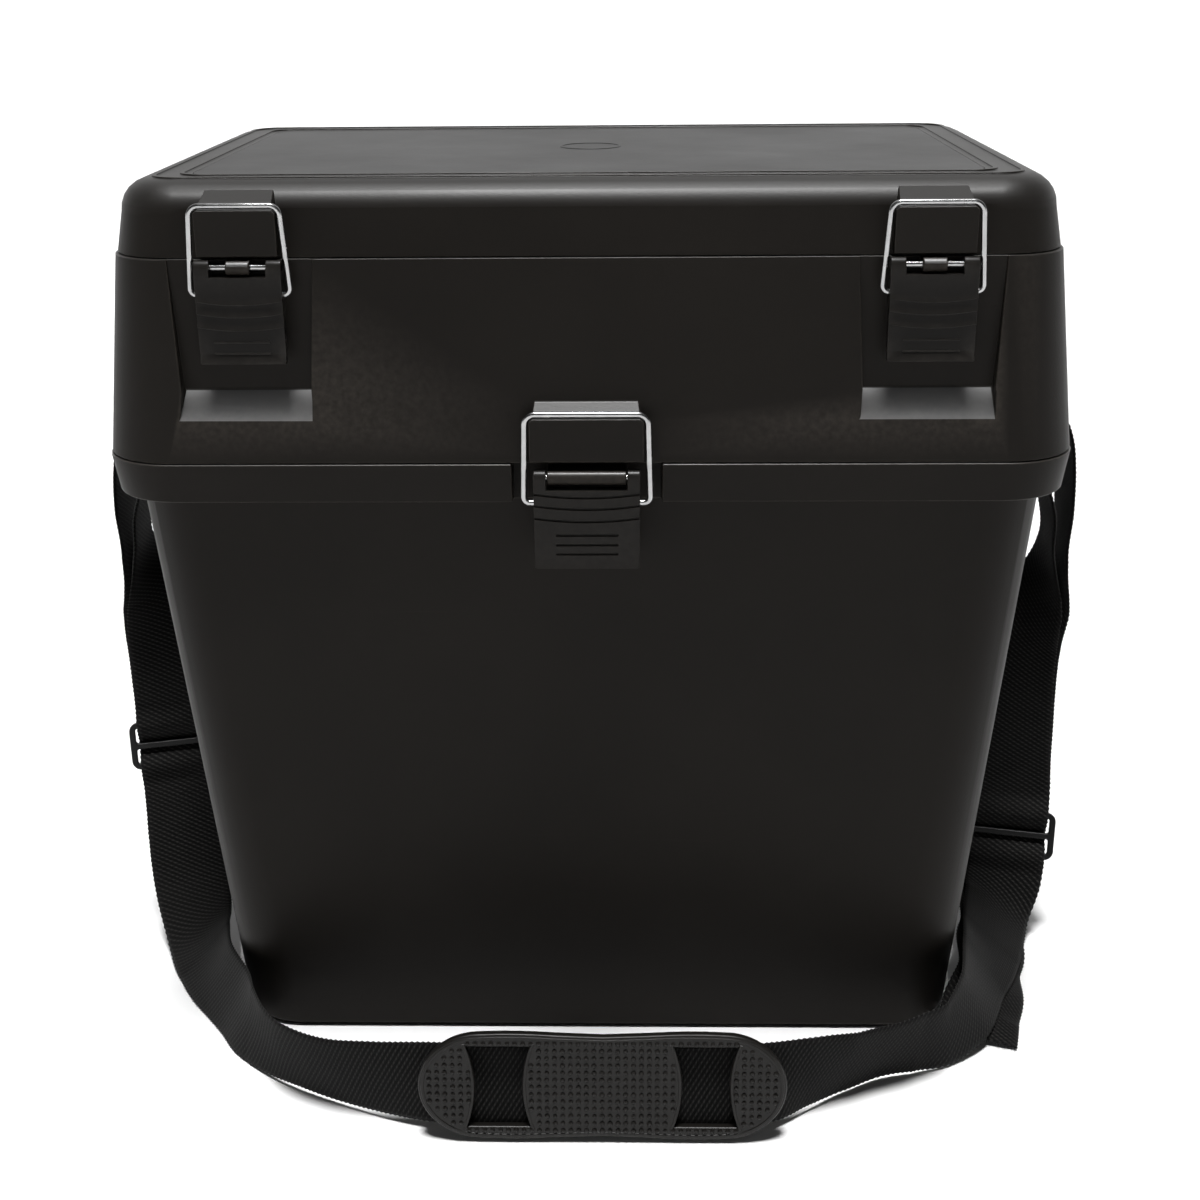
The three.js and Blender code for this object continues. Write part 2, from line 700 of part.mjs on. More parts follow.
// The side levers' grip: three raised lips from edge to edge, and two fine raised lines
function raisedGrip(body, front, spec, outline) {
  const lips = gripLipDropShares.map((share) => lip(spec.tipHalf + overrun, share * latch.tipLength, front)
    .intersect(outline));
  const lines = gripLineDropShares.map((share) => smile(gripLine.half, 0, gripLine.thickness,
    share * latch.tipLength, front - gripLine.proud, front + cutClearance));
  return [...lips, ...lines].reduce((sum, next) => sum.add(next), body);
}

// The centre lever's grip: three curved grooves from edge to edge, and three straight slots
function sunkGrip(body, front, spec) {
  const grooves = gripLipDropShares.map((share) => smile(spec.tipHalf + overrun, grip.sag, gripGroove.thickness,
    share * latch.tipLength - latch.headRadius * 2, front - overrun, front + gripGroove.depth));
  const slots = gripSlotDropShares.map((share) => smile(gripSlot.half, 0, gripSlot.thickness,
    share * latch.tipLength, front - overrun, front + gripSlot.depth));
  return [...grooves, ...slots].reduce((sum, next) => sum.subtract(next), body);
}

// A wire bail in its own place: its feet lie on the X axis and its bar is above them
function makeBail(spec) {
  const r = wire.diameter / 2;
  const topX = spec.bailTopHalf - r;
  const footX = spec.bailFootHalf - r;
  const innerX = spec.topHalf - latch.footReach;
  const corners = [
    new THREE.Vector3(-innerX, 0, 0),
    new THREE.Vector3(-footX, 0, 0),
    new THREE.Vector3(-topX, 0, spec.bailTop),
    new THREE.Vector3(topX, 0, spec.bailTop),
    new THREE.Vector3(footX, 0, 0),
    new THREE.Vector3(innerX, 0, 0),
  ];
  const path = [corners[0]];
  const bends = [1, 2, 3, 4];
  bends.forEach((i) => {
    const bend = i === 1 || i === bends.length ? r + cutClearance : wire.bendRadius;
    const into = corners[i].clone().sub(corners[i - 1]).normalize();
    const away = corners[i + 1].clone().sub(corners[i]).normalize();
    const start = corners[i].clone().addScaledVector(into, -bend);
    const end = corners[i].clone().addScaledVector(away, bend);
    const curve = new THREE.QuadraticBezierCurve3(start, corners[i], end);
    path.push(...curve.getPoints(wire.bendSteps));
  });
  path.push(corners[corners.length - 1]);
  return sweptRound(path, r, wire.sides);
}

// A round rod along flat corner points in the XZ plane, mitred at each point
function sweptRound(path, radius, sides) {
  const rings = path.map((p, i) => {
    const before = path[Math.max(i - 1, 0)];
    const after = path[Math.min(i + 1, path.length - 1)];
    const into = (i === 0 ? after.clone().sub(p) : p.clone().sub(before)).normalize();
    const away = (i === path.length - 1 ? into.clone() : after.clone().sub(p)).normalize();
    const along = into.clone().add(away).normalize();
    const side = new THREE.Vector3(0, 1, 0).cross(along).normalize();
    const stretch = 1 / Math.max(along.dot(into), Math.SQRT1_2);
    const ring = [];
    for (let k = 0; k < sides; k += 1) {
      const angle = (k / sides) * Math.PI * 2;
      ring.push(p.clone()
        .addScaledVector(side, Math.cos(angle) * radius * stretch)
        .addScaledVector(new THREE.Vector3(0, 1, 0), Math.sin(angle) * radius));
    }
    return ring;
  });
  return loft(rings);
}

function makeLatch(spec, pin, side, name, addGrip) {
  const group = new THREE.Group();
  group.position.set(side * spec.x, pin.y, pin.z);
  const lever = piece(`${name}_lever`, makeLever(spec, addGrip), blackLatch());
  const pinHalf = spec.topHalf - cutClearance;
  const steelPin = piece(`${name}_lever_pin`, barX(latch.pinDiameter / 2, [-pinHalf, pinHalf], 0, 0, latch.sides), steel());
  const bail = piece(`${name}_bail`, makeBail(spec), steel());
  bail.position.set(0, 0, -latch.pivotDrop);
  group.add(lever, steelPin, bail);
  return group;
}

function hingePins(axis, name) {
  const group = new THREE.Group();
  const half = hinge.knuckle * 1.5 + hinge.gap + hinge.pinProud;
  both.forEach((side) => {
    const shape = barX(hinge.pinDiameter / 2, [-half, half], 0, 0, hinge.sides);
    const pin = piece(`${name}_hinge_pin_${sideName(side)}`, shape, steel());
    pin.position.set(side * hinge.x, axis.y, axis.z);
    group.add(pin);
  });
  return group;
}

function anchorBars() {
  const group = new THREE.Group();
  const half = anchor.earGap / 2 + anchor.earThickness;
  both.forEach((side) => {
    const bar = piece(`strap_bar_${sideName(side)}`, barY(anchor.barDiameter / 2, [-half, half], 0, 0, anchor.sides), steel());
    bar.position.set(side * (rimHalf.x + anchor.standOff), 0, rimTop - anchor.drop);
    group.add(bar);
  });
  return group;
}

// The strap's route. Each row is a crossing of the webbing: its outer or lower edge, then its inner or upper edge.
const mainRoute = [
  [[-201.8, -19, 269.8], [-201.8, 19, 269.8]],
  [[-204, -19, 258], [-204, 19, 258]],
  [[-210.5, -18.7, 244], [-210.5, 19.3, 244]],
  [[-219, -18.3, 222], [-219, 19.7, 222]],
  [[-221.8, -18, 200], [-221.8, 20, 200]],
  [[-229, -12, 172], [-205, 17, 176]],
  [[-232, -8, 148], [-198.5, 9, 154]],
  [[-231, -11, 121], [-196, 1, 128]],
  [[-230, -14, 95], [-195, -4, 103]],
  [[-227.5, -22, 70], [-192.5, -11, 78]],
  [[-225.5, -30, 47], [-191, -18, 57]],
  [[-222.5, -37.5, 25], [-188.5, -28, 39]],
  [[-216, -50, 6.6], [-183, -45, 25.6]],
  [[-204, -71, 2], [-178.5, -69, 28.3]],
  [[-188.5, -94, 2.6], [-169.5, -99, 33.6]],
  [[-175, -113, 3.6], [-157.5, -121.5, 34]],
  [[-163, -129.5, 3.6], [-147, -143, 35.2]],
  [[-139, -152, 3], [-133, -164.5, 38.4]],
  [[-116, -165.5, 2.2], [-112, -175.5, 38.6]],
  [[-92, -176.5, 2.8], [-90, -179.5, 40.6]],
  [[-66, -184.4, 3.6], [-65, -180.2, 41.4]],
  [[-30, -186.4, 3.8], [-30, -181.2, 41.4]],
  [[5, -186.4, 3.8], [5, -181.2, 41.4]],
  [[40, -186.4, 3.8], [40, -181.2, 41.4]],
  [[76, -183.4, 3.6], [75, -179.4, 41.4]],
  [[94.5, -171, 3.2], [92.5, -176, 40.5]],
  [[112.5, -157.5, 2], [109, -170, 37.5]],
  [[128, -148.5, 2], [123.5, -163, 36.8]],
  [[149, -142, 2.8], [139, -155.5, 37.1]],
  [[165, -134.5, 3.2], [151.5, -147, 36.2]],
  [[181, -121, 6.6], [164, -127.5, 39.6]],
  [[193.5, -93, 10], [171.5, -96, 40]],
  [[205.5, -67, 9.5], [177, -68, 34]],
  [[217.4, -34, 11.8], [185.4, -31, 31.8]],
  [[223.2, -27, 27.4], [188.7, -18, 39.4]],
  [[225, -20, 46], [190.5, -11, 58]],
  [[226.9, -13, 64.6], [192.4, -4, 76.6]],
  [[226, -11, 92], [191.5, 2, 101]],
  [[225.5, -8, 146], [195, 13, 151]],
  [[225, -14.4, 170.8], [206, 18, 173.2]],
  [[218.4, -18, 198], [218.4, 20, 198]],
  [[216.5, -18.3, 222], [216.5, 19.7, 222]],
  [[204, -18.9, 257], [204, 19.1, 257]],
  [[201.8, -19, 269.8], [201.8, 19, 269.8]],
];
const leftEndRoute = [
  [[-201.8, -19, 271.2], [-201.8, 19, 271.2]],
  [[-203, -19, 273.9], [-203, 19, 273.9]],
  [[-205.8, -19, 274.9], [-205.8, 19, 274.9]],
  [[-211, -19, 273.6], [-211, 19, 273.6]],
  [[-217.5, -18.9, 268], [-217.5, 19.1, 268]],
  [[-223, -18.7, 258], [-223, 19.3, 258]],
  [[-226.3, -18.5, 243], [-226.3, 19.5, 243]],
  [[-227.8, -18.2, 224], [-227.8, 19.8, 224]],
  [[-227.5, -17.6, 201], [-227.5, 20.4, 201]],
  [[-232.8, -8.6, 172], [-208.8, 20.4, 176]],
  [[-234.2, -3.6, 148], [-200.7, 13.4, 154]],
  [[-232.6, -6.2, 121], [-197.6, 5.8, 128]],
  [[-231.3, -8.2, 93.7], [-196.3, 1.8, 101.7]],
  [[-230.3, -11.4, 79], [-195, -1.4, 86.5]],
  [[-228.7, -18.3, 56], [-193.6, -7.3, 65]],
];
const rightEndRoute = [
  [[201.8, -19, 271.2], [201.8, 19, 271.2]],
  [[203, -19, 273.9], [203, 19, 273.9]],
  [[205.8, -19, 274.9], [205.8, 19, 274.9]],
  [[211, -19, 273.6], [211, 19, 273.6]],
  [[217, -18.9, 268], [217, 19.1, 268]],
  [[221.5, -18.7, 258], [221.5, 19.3, 258]],
  [[224, -18.4, 243], [224, 19.6, 243]],
  [[225, -18.2, 222], [225, 19.8, 222]],
  [[224.9, -17.6, 198], [224.9, 20.4, 198]],
  [[229.8, -11.6, 170.8], [210.8, 20.8, 173.2]],
  [[228.7, -3.4, 146], [198.2, 17.6, 151]],
  [[228, -5.6, 92], [193.5, 7.4, 101]],
  [[227.9, -7.5, 63.1], [193.4, 1.5, 75.1]],
  [[226, -14.2, 44.6], [191.5, -5.2, 56.6]],
  [[222.2, -22.7, 24.2], [187.7, -13.7, 36.2]],
  [[215, -29.7, 7], [183, -26.7, 27]],
  [[212, -50, 2.6], [180.5, -50, 20.4]],
  [[206.5, -67, 1.9], [175.5, -64, 22]],
  [[202.5, -92, 3], [172, -91, 22.4]],
  [[198, -106, 4], [162.5, -108, 13.6]],
  [[194, -121, 3.3], [156.5, -122, 5.1]],
];

// The rows of the strap's route where its two sliders sit
const sliderRows = { left: 8, right: 35 };

// The route was laid out round a rim of this half width and half depth, with its strap bars at this height.
// Where the box's own rim and bars lie elsewhere, the route moves with them.
const laidOut = { x: 197.5, y: 132.5, z: 271 };
const moved = {
  x: rimHalf.x - laidOut.x,
  y: rimHalf.y - laidOut.y,
  z: rimTop - anchor.drop - laidOut.z,
};
const follow = (value, axis) => value + moved[axis] * THREE.MathUtils.clamp(value / laidOut[axis], -1, 1);
const withRim = ([x, y, z]) => [follow(x, 'x'), follow(y, 'y'), follow(z, 'z')];

// Fair curves through a route: the middle of the webbing and the direction across it
function strapCurves(rows) {
  const route = rows.map((row) => row.map(withRim));
  const middles = route.map(([a, b]) => new THREE.Vector3(...a).add(new THREE.Vector3(...b)).multiplyScalar(1 / 2));
  const crossings = route.map(([a, b]) => new THREE.Vector3(...a).sub(new THREE.Vector3(...b)).normalize());
  const middle = new THREE.CatmullRomCurve3(middles, false, 'centripetal');
  const direction = new THREE.CatmullRomCurve3(crossings, false, 'centripetal');
  middle.arcLengthDivisions = (route.length - 1) * webbing.measuresPerRow;
  return { middle, direction, crossings, lengths: middle.getLengths() };
}

// The webbing at a distance along its route: its middle, its travel, the way across it and the way to its back
function strapFrame({ middle, direction, lengths }, distance) {
  const share = middle.getUtoTmapping(distance / lengths[lengths.length - 1]);
  const along = middle.getTangent(share);
  const out = direction.getPoint(share);
  out.addScaledVector(along, -out.dot(along)).normalize();
  return { at: middle.getPoint(share), along, out, back: new THREE.Vector3().crossVectors(along, out).normalize() };
}

// Near a slider the webbing runs straight in the slider's plane, and then eases back to its own curve
function heldFrame(curves, holds, distance) {
  const frame = strapFrame(curves, distance);
  holds.forEach((hold) => {
    const past = distance - hold;
    const ease = 1 - THREE.MathUtils.smoothstep(Math.abs(past), slider.height / 2, slider.height);
    const held = strapFrame(curves, hold);
    frame.at.lerp(held.at.addScaledVector(held.along, past), ease);
    frame.out.lerp(held.out, ease).normalize();
    frame.back.lerp(held.back, ease).normalize();
  });
  return frame;
}

// How far behind a slider's plane the webbing lies: behind its middle bar, then in front of its outer bars
const sliderPitch = (slider.height - slider.bar) / 2;
const weaveDepth = (slider.thickness + webbing.thickness) / 2 + slider.clearance;
function weave(past) {
  const reach = Math.abs(past) / sliderPitch;
  if (reach < 1) {
    return weaveDepth * Math.cos(Math.PI * reach);
  }
  return reach < 2 ? (-weaveDepth * (1 - Math.cos(Math.PI * reach))) / 2 : 0;
}

// Where the ribbon has a row of corners: a few in each gap of the route, and more where it twists or is held
function rowDistances({ crossings, lengths }, holds) {
  const distances = [0];
  for (let row = 0; row + 1 < crossings.length; row += 1) {
    const twist = crossings[row].angleTo(crossings[row + 1]);
    const steps = Math.max(webbing.stepsPerRow, Math.ceil(twist / webbing.twistPerStep));
    for (let i = 1; i <= steps; i += 1) {
      distances.push(lengths[Math.round((row + i / steps) * webbing.measuresPerRow)]);
    }
  }
  const free = distances.filter((distance) => holds.every((hold) => Math.abs(distance - hold) > slider.height));
  holds.forEach((hold) => {
    for (let i = -webbing.weaveSteps; i <= webbing.weaveSteps; i += 1) {
      free.push(hold + (i / webbing.weaveSteps) * slider.height);
    }
  });
  return free.sort((a, b) => a - b);
}

// A flat ribbon with square edges along a route, woven through the sliders at the distances named
function ribbon(route, holds = []) {
  const curves = strapCurves(route);
  const section = [[1, 1], [-1, 1], [-1, -1], [1, -1]];
  return loft(rowDistances(curves, holds).map((distance) => {
    const { at, out, back } = heldFrame(curves, holds, distance);
    const behind = holds.reduce((sum, hold) => sum + weave(distance - hold), 0);
    return section.map(([u, v]) => at.clone()
      .addScaledVector(out, (u * webbing.width) / 2)
      .addScaledVector(back, behind + (v * webbing.thickness) / 2));
  }));
}

// A slider: two slots between three bars, in the plane of the webbing that it holds
function makeSlider() {
  const halfWidth = slider.width / 2;
  const halfHeight = slider.height / 2;
  const frame = block([-halfWidth, halfWidth], [-slider.thickness / 2, slider.thickness / 2], [-halfHeight, halfHeight]);
  const slots = both.map((side) => {
    const edges = [side * (slider.bar / 2), side * (halfHeight - slider.bar)];
    return block(
      [-halfWidth + slider.endBar, halfWidth - slider.endBar],
      [-slider.thickness, slider.thickness],
      [Math.min(...edges), Math.max(...edges)],
    );
  });
  return slots.reduce((sum, next) => sum.subtract(next), frame);
}

// Shoulder pad: a waisted rubber plate with two windows, and sleeves behind it that the webbing runs through
function makePad() {
  const outline = [];
  for (let i = 0; i < pad.outlineSteps; i += 1) {
    const angle = (i / pad.outlineSteps) * Math.PI * 2;
    const c = Math.cos(angle);
    const s = Math.sin(angle);
    const reachShare = Math.sign(c) * Math.abs(c) ** pad.outlinePower;
    const riseShare = Math.sign(s) * Math.abs(s) ** pad.outlinePower;
    const lobe = lerp(pad.waistShare, 1, Math.sin(Math.abs(reachShare) * Math.PI) ** 2);
    outline.push([pad.halfLength * reachShare, pad.halfHeight * riseShare * lobe]);
  }
  const back = webbing.thickness / 2 + pad.webbingClearance;
  const windows = both.map((side) => {
    const cx = side * pad.windowX;
    const w = pad.windowHalf;
    const h = pad.windowHalfHeight;
    return backwards([
      [cx - w, -h],
      [cx + w, -h],
      [cx + w - pad.windowBulge, 0],
      [cx + w, h],
      [cx - w, h],
      [cx - w + pad.windowBulge, 0],
    ], -back - pad.thickness - overrun, -back + overrun);
  });
  const plate = windows.reduce((sum, next) => sum.subtract(next), backwards(outline, -back - pad.thickness, -back));
  const clearHeight = webbing.width / 2 + pad.webbingClearance;
  const sleeves = both.map((side) => {
    const xs = [side * pad.sleeveX - pad.sleeveHalf, side * pad.sleeveX + pad.sleeveHalf];
    const outer = block(xs, [-back - overrun, back + pad.sleeveWall], [-clearHeight - pad.sleeveWall, clearHeight + pad.sleeveWall]);
    const inner = block([xs[0] - overrun, xs[1] + overrun], [-back, back], [-clearHeight, clearHeight]);
    return outer.subtract(inner).translate([0, 0, -pad.sleeveDrop]);
  });
  return sleeves.reduce((sum, next) => sum.add(next), plate);
}

// The whole object
const seatBox = new THREE.Group();
seatBox.name = 'fishing_seat_box';
seatBox.add(piece('tub', makeTub(), blackShell()));
seatBox.add(piece('upper_section', makeUpper(), blackShell()));
seatBox.add(piece('lid', makeLid(), blackShell()));
const panelMesh = piece('seat_panel', makeSeatPanel(), panelFinish());
panelMesh.position.set(0, 0, lidTop - seatPanel.thickness);
seatBox.add(panelMesh);
both.forEach((side) => seatBox.add(makeLatch(sideLatch, sidePin, side, `side_${sideName(side)}`, raisedGrip)));
seatBox.add(makeLatch(centreLatch, centrePin, 0, 'centre', sunkGrip));
seatBox.add(hingePins(lidAxis, 'lid'));
seatBox.add(hingePins(upperAxis, 'upper'));
seatBox.add(anchorBars());

const mainCurves = strapCurves(mainRoute);
const holdAt = (side) => mainCurves.lengths[sliderRows[sideName(side)] * webbing.measuresPerRow];
seatBox.add(piece('strap_main', ribbon(mainRoute, both.map(holdAt)), blackWebbing()));
seatBox.add(piece('strap_end_left', ribbon(leftEndRoute), blackWebbing()));
seatBox.add(piece('strap_end_right', ribbon(rightEndRoute), blackWebbing()));
both.forEach((side) => {
  const { at, along, out, back } = strapFrame(mainCurves, holdAt(side));
  const sliderMesh = piece(`slider_${sideName(side)}`, makeSlider(), blackSlider());
  sliderMesh.quaternion.setFromRotationMatrix(new THREE.Matrix4().makeBasis(out, back, along));
  sliderMesh.position.copy(at);
  seatBox.add(sliderMesh);
});

const padMesh = piece('shoulder_pad', makePad(), blackRubber());
padMesh.position.set(...withRim([pad.x, pad.y, pad.z]));
padMesh.rotation.x = -Math.atan2(pad.leanBack, pad.leanRise);
seatBox.add(padMesh);

export default seatBox;
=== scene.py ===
# %% [markdown]
# # A fishing seat box
#
# A tall tapered box that an angler sits on: a deep tub, a shallow compartment hinged on it, a seat lid, three wire
# latches, and a webbing strap with a rubber shoulder pad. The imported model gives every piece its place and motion,
# and this script gives it the form and finish of the real one. Its size is noted first, because nothing made here
# may stand far outside it.

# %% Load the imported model
import json
from bisect import bisect_right
from math import atan2, copysign, cos, pi, radians, sin, sqrt

import bmesh
import bpy
from mathutils import Matrix, Vector
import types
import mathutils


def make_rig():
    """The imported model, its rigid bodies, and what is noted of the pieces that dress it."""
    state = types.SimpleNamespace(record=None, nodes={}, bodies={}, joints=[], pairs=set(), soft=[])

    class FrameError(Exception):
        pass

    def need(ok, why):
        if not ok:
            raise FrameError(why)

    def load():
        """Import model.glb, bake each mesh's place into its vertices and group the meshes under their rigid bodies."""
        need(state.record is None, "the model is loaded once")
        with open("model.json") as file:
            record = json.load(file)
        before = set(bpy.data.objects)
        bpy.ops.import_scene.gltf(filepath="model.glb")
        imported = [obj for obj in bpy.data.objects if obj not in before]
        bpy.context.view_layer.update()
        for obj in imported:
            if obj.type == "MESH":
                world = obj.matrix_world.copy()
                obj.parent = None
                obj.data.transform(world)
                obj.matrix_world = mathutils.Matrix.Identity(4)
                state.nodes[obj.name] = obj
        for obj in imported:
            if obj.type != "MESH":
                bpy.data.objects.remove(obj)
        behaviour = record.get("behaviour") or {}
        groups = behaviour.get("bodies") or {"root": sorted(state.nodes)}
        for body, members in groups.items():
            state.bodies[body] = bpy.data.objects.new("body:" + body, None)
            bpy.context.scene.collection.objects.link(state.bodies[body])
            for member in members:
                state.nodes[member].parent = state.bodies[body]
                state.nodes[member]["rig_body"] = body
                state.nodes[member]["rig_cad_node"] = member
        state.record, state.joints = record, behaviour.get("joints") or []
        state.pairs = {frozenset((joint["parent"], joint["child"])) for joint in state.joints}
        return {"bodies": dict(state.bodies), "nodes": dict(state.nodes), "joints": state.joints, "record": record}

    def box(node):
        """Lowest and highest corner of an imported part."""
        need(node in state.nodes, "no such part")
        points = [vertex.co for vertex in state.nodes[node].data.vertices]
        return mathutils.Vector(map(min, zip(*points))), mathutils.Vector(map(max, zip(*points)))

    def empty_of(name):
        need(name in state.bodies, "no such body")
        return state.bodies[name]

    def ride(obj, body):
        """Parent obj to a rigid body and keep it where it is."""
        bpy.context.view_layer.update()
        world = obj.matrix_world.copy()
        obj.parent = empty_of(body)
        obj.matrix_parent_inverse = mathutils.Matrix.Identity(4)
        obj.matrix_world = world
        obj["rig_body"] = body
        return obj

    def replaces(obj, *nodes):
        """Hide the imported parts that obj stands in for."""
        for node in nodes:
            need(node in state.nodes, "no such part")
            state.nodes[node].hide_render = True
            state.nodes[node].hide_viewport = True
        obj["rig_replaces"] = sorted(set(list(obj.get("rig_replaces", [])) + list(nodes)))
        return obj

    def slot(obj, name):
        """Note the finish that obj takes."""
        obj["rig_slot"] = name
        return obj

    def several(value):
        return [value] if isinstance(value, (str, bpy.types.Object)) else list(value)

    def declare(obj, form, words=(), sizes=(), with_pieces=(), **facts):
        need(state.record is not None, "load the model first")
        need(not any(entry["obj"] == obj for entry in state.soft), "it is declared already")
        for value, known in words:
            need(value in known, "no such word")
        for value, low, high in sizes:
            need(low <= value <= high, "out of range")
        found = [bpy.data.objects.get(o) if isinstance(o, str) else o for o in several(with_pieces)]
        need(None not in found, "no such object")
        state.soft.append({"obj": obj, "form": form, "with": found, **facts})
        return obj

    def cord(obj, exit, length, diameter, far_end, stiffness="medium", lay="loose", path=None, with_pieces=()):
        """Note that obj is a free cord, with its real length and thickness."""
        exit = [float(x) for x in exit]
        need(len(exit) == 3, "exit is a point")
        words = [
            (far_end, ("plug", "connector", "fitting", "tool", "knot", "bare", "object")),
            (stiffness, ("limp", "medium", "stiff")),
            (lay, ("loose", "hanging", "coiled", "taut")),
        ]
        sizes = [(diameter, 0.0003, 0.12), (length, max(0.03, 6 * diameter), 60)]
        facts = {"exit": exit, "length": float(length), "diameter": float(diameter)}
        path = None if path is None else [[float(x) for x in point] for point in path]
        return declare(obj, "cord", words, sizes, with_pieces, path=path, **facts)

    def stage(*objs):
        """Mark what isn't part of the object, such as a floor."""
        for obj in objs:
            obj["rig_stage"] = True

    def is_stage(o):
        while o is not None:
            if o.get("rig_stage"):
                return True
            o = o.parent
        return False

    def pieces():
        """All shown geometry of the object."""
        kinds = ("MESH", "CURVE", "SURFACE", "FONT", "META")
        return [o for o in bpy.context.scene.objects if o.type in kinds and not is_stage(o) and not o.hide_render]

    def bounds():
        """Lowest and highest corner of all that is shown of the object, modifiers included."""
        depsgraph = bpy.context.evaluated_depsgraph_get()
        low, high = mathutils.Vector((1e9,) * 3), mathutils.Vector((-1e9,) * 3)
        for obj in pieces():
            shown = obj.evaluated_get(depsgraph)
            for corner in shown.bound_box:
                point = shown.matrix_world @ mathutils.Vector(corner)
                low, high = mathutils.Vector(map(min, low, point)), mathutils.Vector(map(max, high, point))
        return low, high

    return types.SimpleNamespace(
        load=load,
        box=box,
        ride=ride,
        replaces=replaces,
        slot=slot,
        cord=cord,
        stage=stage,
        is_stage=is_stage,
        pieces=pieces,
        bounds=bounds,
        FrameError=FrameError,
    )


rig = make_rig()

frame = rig.load()
cad_low, cad_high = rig.bounds()
scene = bpy.context.scene
print("the packed model is", [round(side, 4) for side in cad_high - cad_low], "metres")

# %% [markdown]
# ## The camera
#
# A camera could be placed by eye, but one pinhole camera fits some thirty measured edges of the box to a pixel or
# two. It stands 0.78 m in front, looks 20.7 degrees down, and is turned and rolled by about a degree. An unturned
# camera looks straight down, so it is rolled, raised and then turned.


# %% Make the camera
def put_in_scene(name, data):
    made = bpy.data.objects.new(name, data)
    scene.collection.objects.link(made)
    return made


CAMERA_AT = Vector((0.01964, -0.77742, 0.46632))
RAISED, YAW, ROLL = (radians(angle) for angle in (90 - 20.72, 1.32, -0.52))
lens = bpy.data.cameras.new("camera")
lens.sensor_width, lens.lens = 36.0, 50.6
scene.camera = put_in_scene("camera", lens)
turned = Matrix.Rotation(YAW, 4, "Z") @ Matrix.Rotation(RAISED, 4, "X") @ Matrix.Rotation(ROLL, 4, "Z")
scene.camera.matrix_world = Matrix.Translation(CAMERA_AT) @ turned
print("the camera stands at", tuple(CAMERA_AT))

# %% [markdown]
# ## Small helpers
#
# Every piece ends the same way: a mesh with its place in its own points, a finish, a body of the model that it moves
# with, a material slot of the record, and the nodes that it stands for. One helper does that. Others turn points, a
# bmesh or a modifier's result into a plain mesh.


# %% Helpers for pieces and meshes
def plain_mesh(obj, name):
    """The evaluated shape of an object as a new mesh object at the origin; the first object goes."""
    bpy.context.view_layer.update()
    mesh = bpy.data.meshes.new_from_object(obj.evaluated_get(bpy.context.evaluated_depsgraph_get()))
    mesh.transform(obj.matrix_world)
    made = put_in_scene(name, mesh)
    bpy.data.objects.remove(obj)
    return made


def mesh_object(name, points, faces, edges=()):
    mesh = bpy.data.meshes.new(name)
    mesh.from_pydata([tuple(point) for point in points], edges, faces)
    return put_in_scene(name, mesh)


def object_from(shape, name):
    """A mesh object from a bmesh, which is then let go."""
    mesh = bpy.data.meshes.new(name)
    shape.to_mesh(mesh)
    shape.free()
    return put_in_scene(name, mesh)


def settle(obj, body, slot, finish, stands_for=()):
    """Gives a finished piece its material, its body, its slot and the nodes that it replaces."""
    obj.data.materials.clear()
    obj.data.materials.append(finish)
    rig.ride(obj, body)
    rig.slot(obj, slot)
    if stands_for:
        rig.replaces(obj, *stands_for)
    print(f"{obj.name}: {len(obj.data.polygons)} faces, rides on {body}")
    return obj


print("piece helpers are ready")

# %% [markdown]
# Plain smooth shading bends the light over a flat wall. Here the faces are gathered into flats, and at each corner
# the large flats count for more.


# %% Even normals
FLAT_WITHIN, SOFT_WITHIN = (cos(radians(angle)) for angle in (0.6, 35.0))


def even_normals(obj):
    """Smooth shading that leaves broad flats flat."""
    shape = bmesh.new()
    shape.from_mesh(obj.data)
    shape.faces.ensure_lookup_table()
    shape.normal_update()
    region = [-1] * len(shape.faces)
    facing, size = [], []
    for seed in shape.faces:
        if region[seed.index] >= 0:
            continue
        region[seed.index] = len(facing)
        found, total = [seed], Vector()
        for face in found:
            total += face.normal * face.calc_area()
            for edge in face.edges:
                for other in edge.link_faces:
                    if region[other.index] < 0 and other.normal.dot(seed.normal) > FLAT_WITHIN:
                        region[other.index] = len(facing)
                        found.append(other)
        size.append(sum(face.calc_area() for face in found))
        facing.append(total.normalized() if total.length > 0 else seed.normal.copy())
    normals = []
    for face in shape.faces:
        own = facing[region[face.index]]
        for loop in face.loops:
            around = {region[other.index] for other in loop.vert.link_faces}
            normal = sum((facing[i] * size[i] for i in around if facing[i].dot(own) > SOFT_WITHIN), Vector())
            normals.append(tuple(normal.normalized() if normal.length > 0 else own))
    shape.free()
    obj.data.shade_smooth()
    obj.data.normals_split_custom_set(normals)
    return obj


print("the normals helper is ready")

# %% [markdown]
# ## Materials
#
# Everything here is black, so the finishes differ by how they scatter light: satin plastic with a fine grain, a
# coarser grain on the seat, smoother latches, dry rubber, woven webbing and bright wire. Pictures of surfaces would
# have to be unwrapped, but noise in Object coordinates needs none of that and stays put when a piece moves.


# %% Helpers for materials
def node(tree, kind, inputs=None, output=None, **settings):
    """Adds a node and returns the output that is named, or else its first one in use."""
    made = tree.nodes.new(kind)
    for name, value in settings.items():
        setattr(made, name, value)
    for name, value in (inputs or {}).items():
        if isinstance(value, bpy.types.NodeSocket):
            tree.links.new(value, made.inputs[name])
        else:
            made.inputs[name].default_value = value
    return made.outputs[output] if output else next(socket for socket in made.outputs if socket.enabled)


def new_material(name, **shader_values):
    """A material with one shader, whose uniform values are set on its own sockets, and its object coordinates."""
    made = bpy.data.materials.new(name)
    made.use_nodes = True
    tree = made.node_tree
    shader = tree.nodes["Principled BSDF"]
    for socket, value in shader_values.items():
        shader.inputs[socket.replace("_", " ")].default_value = value
    return made, tree, shader, node(tree, "ShaderNodeTexCoord", output="Object")


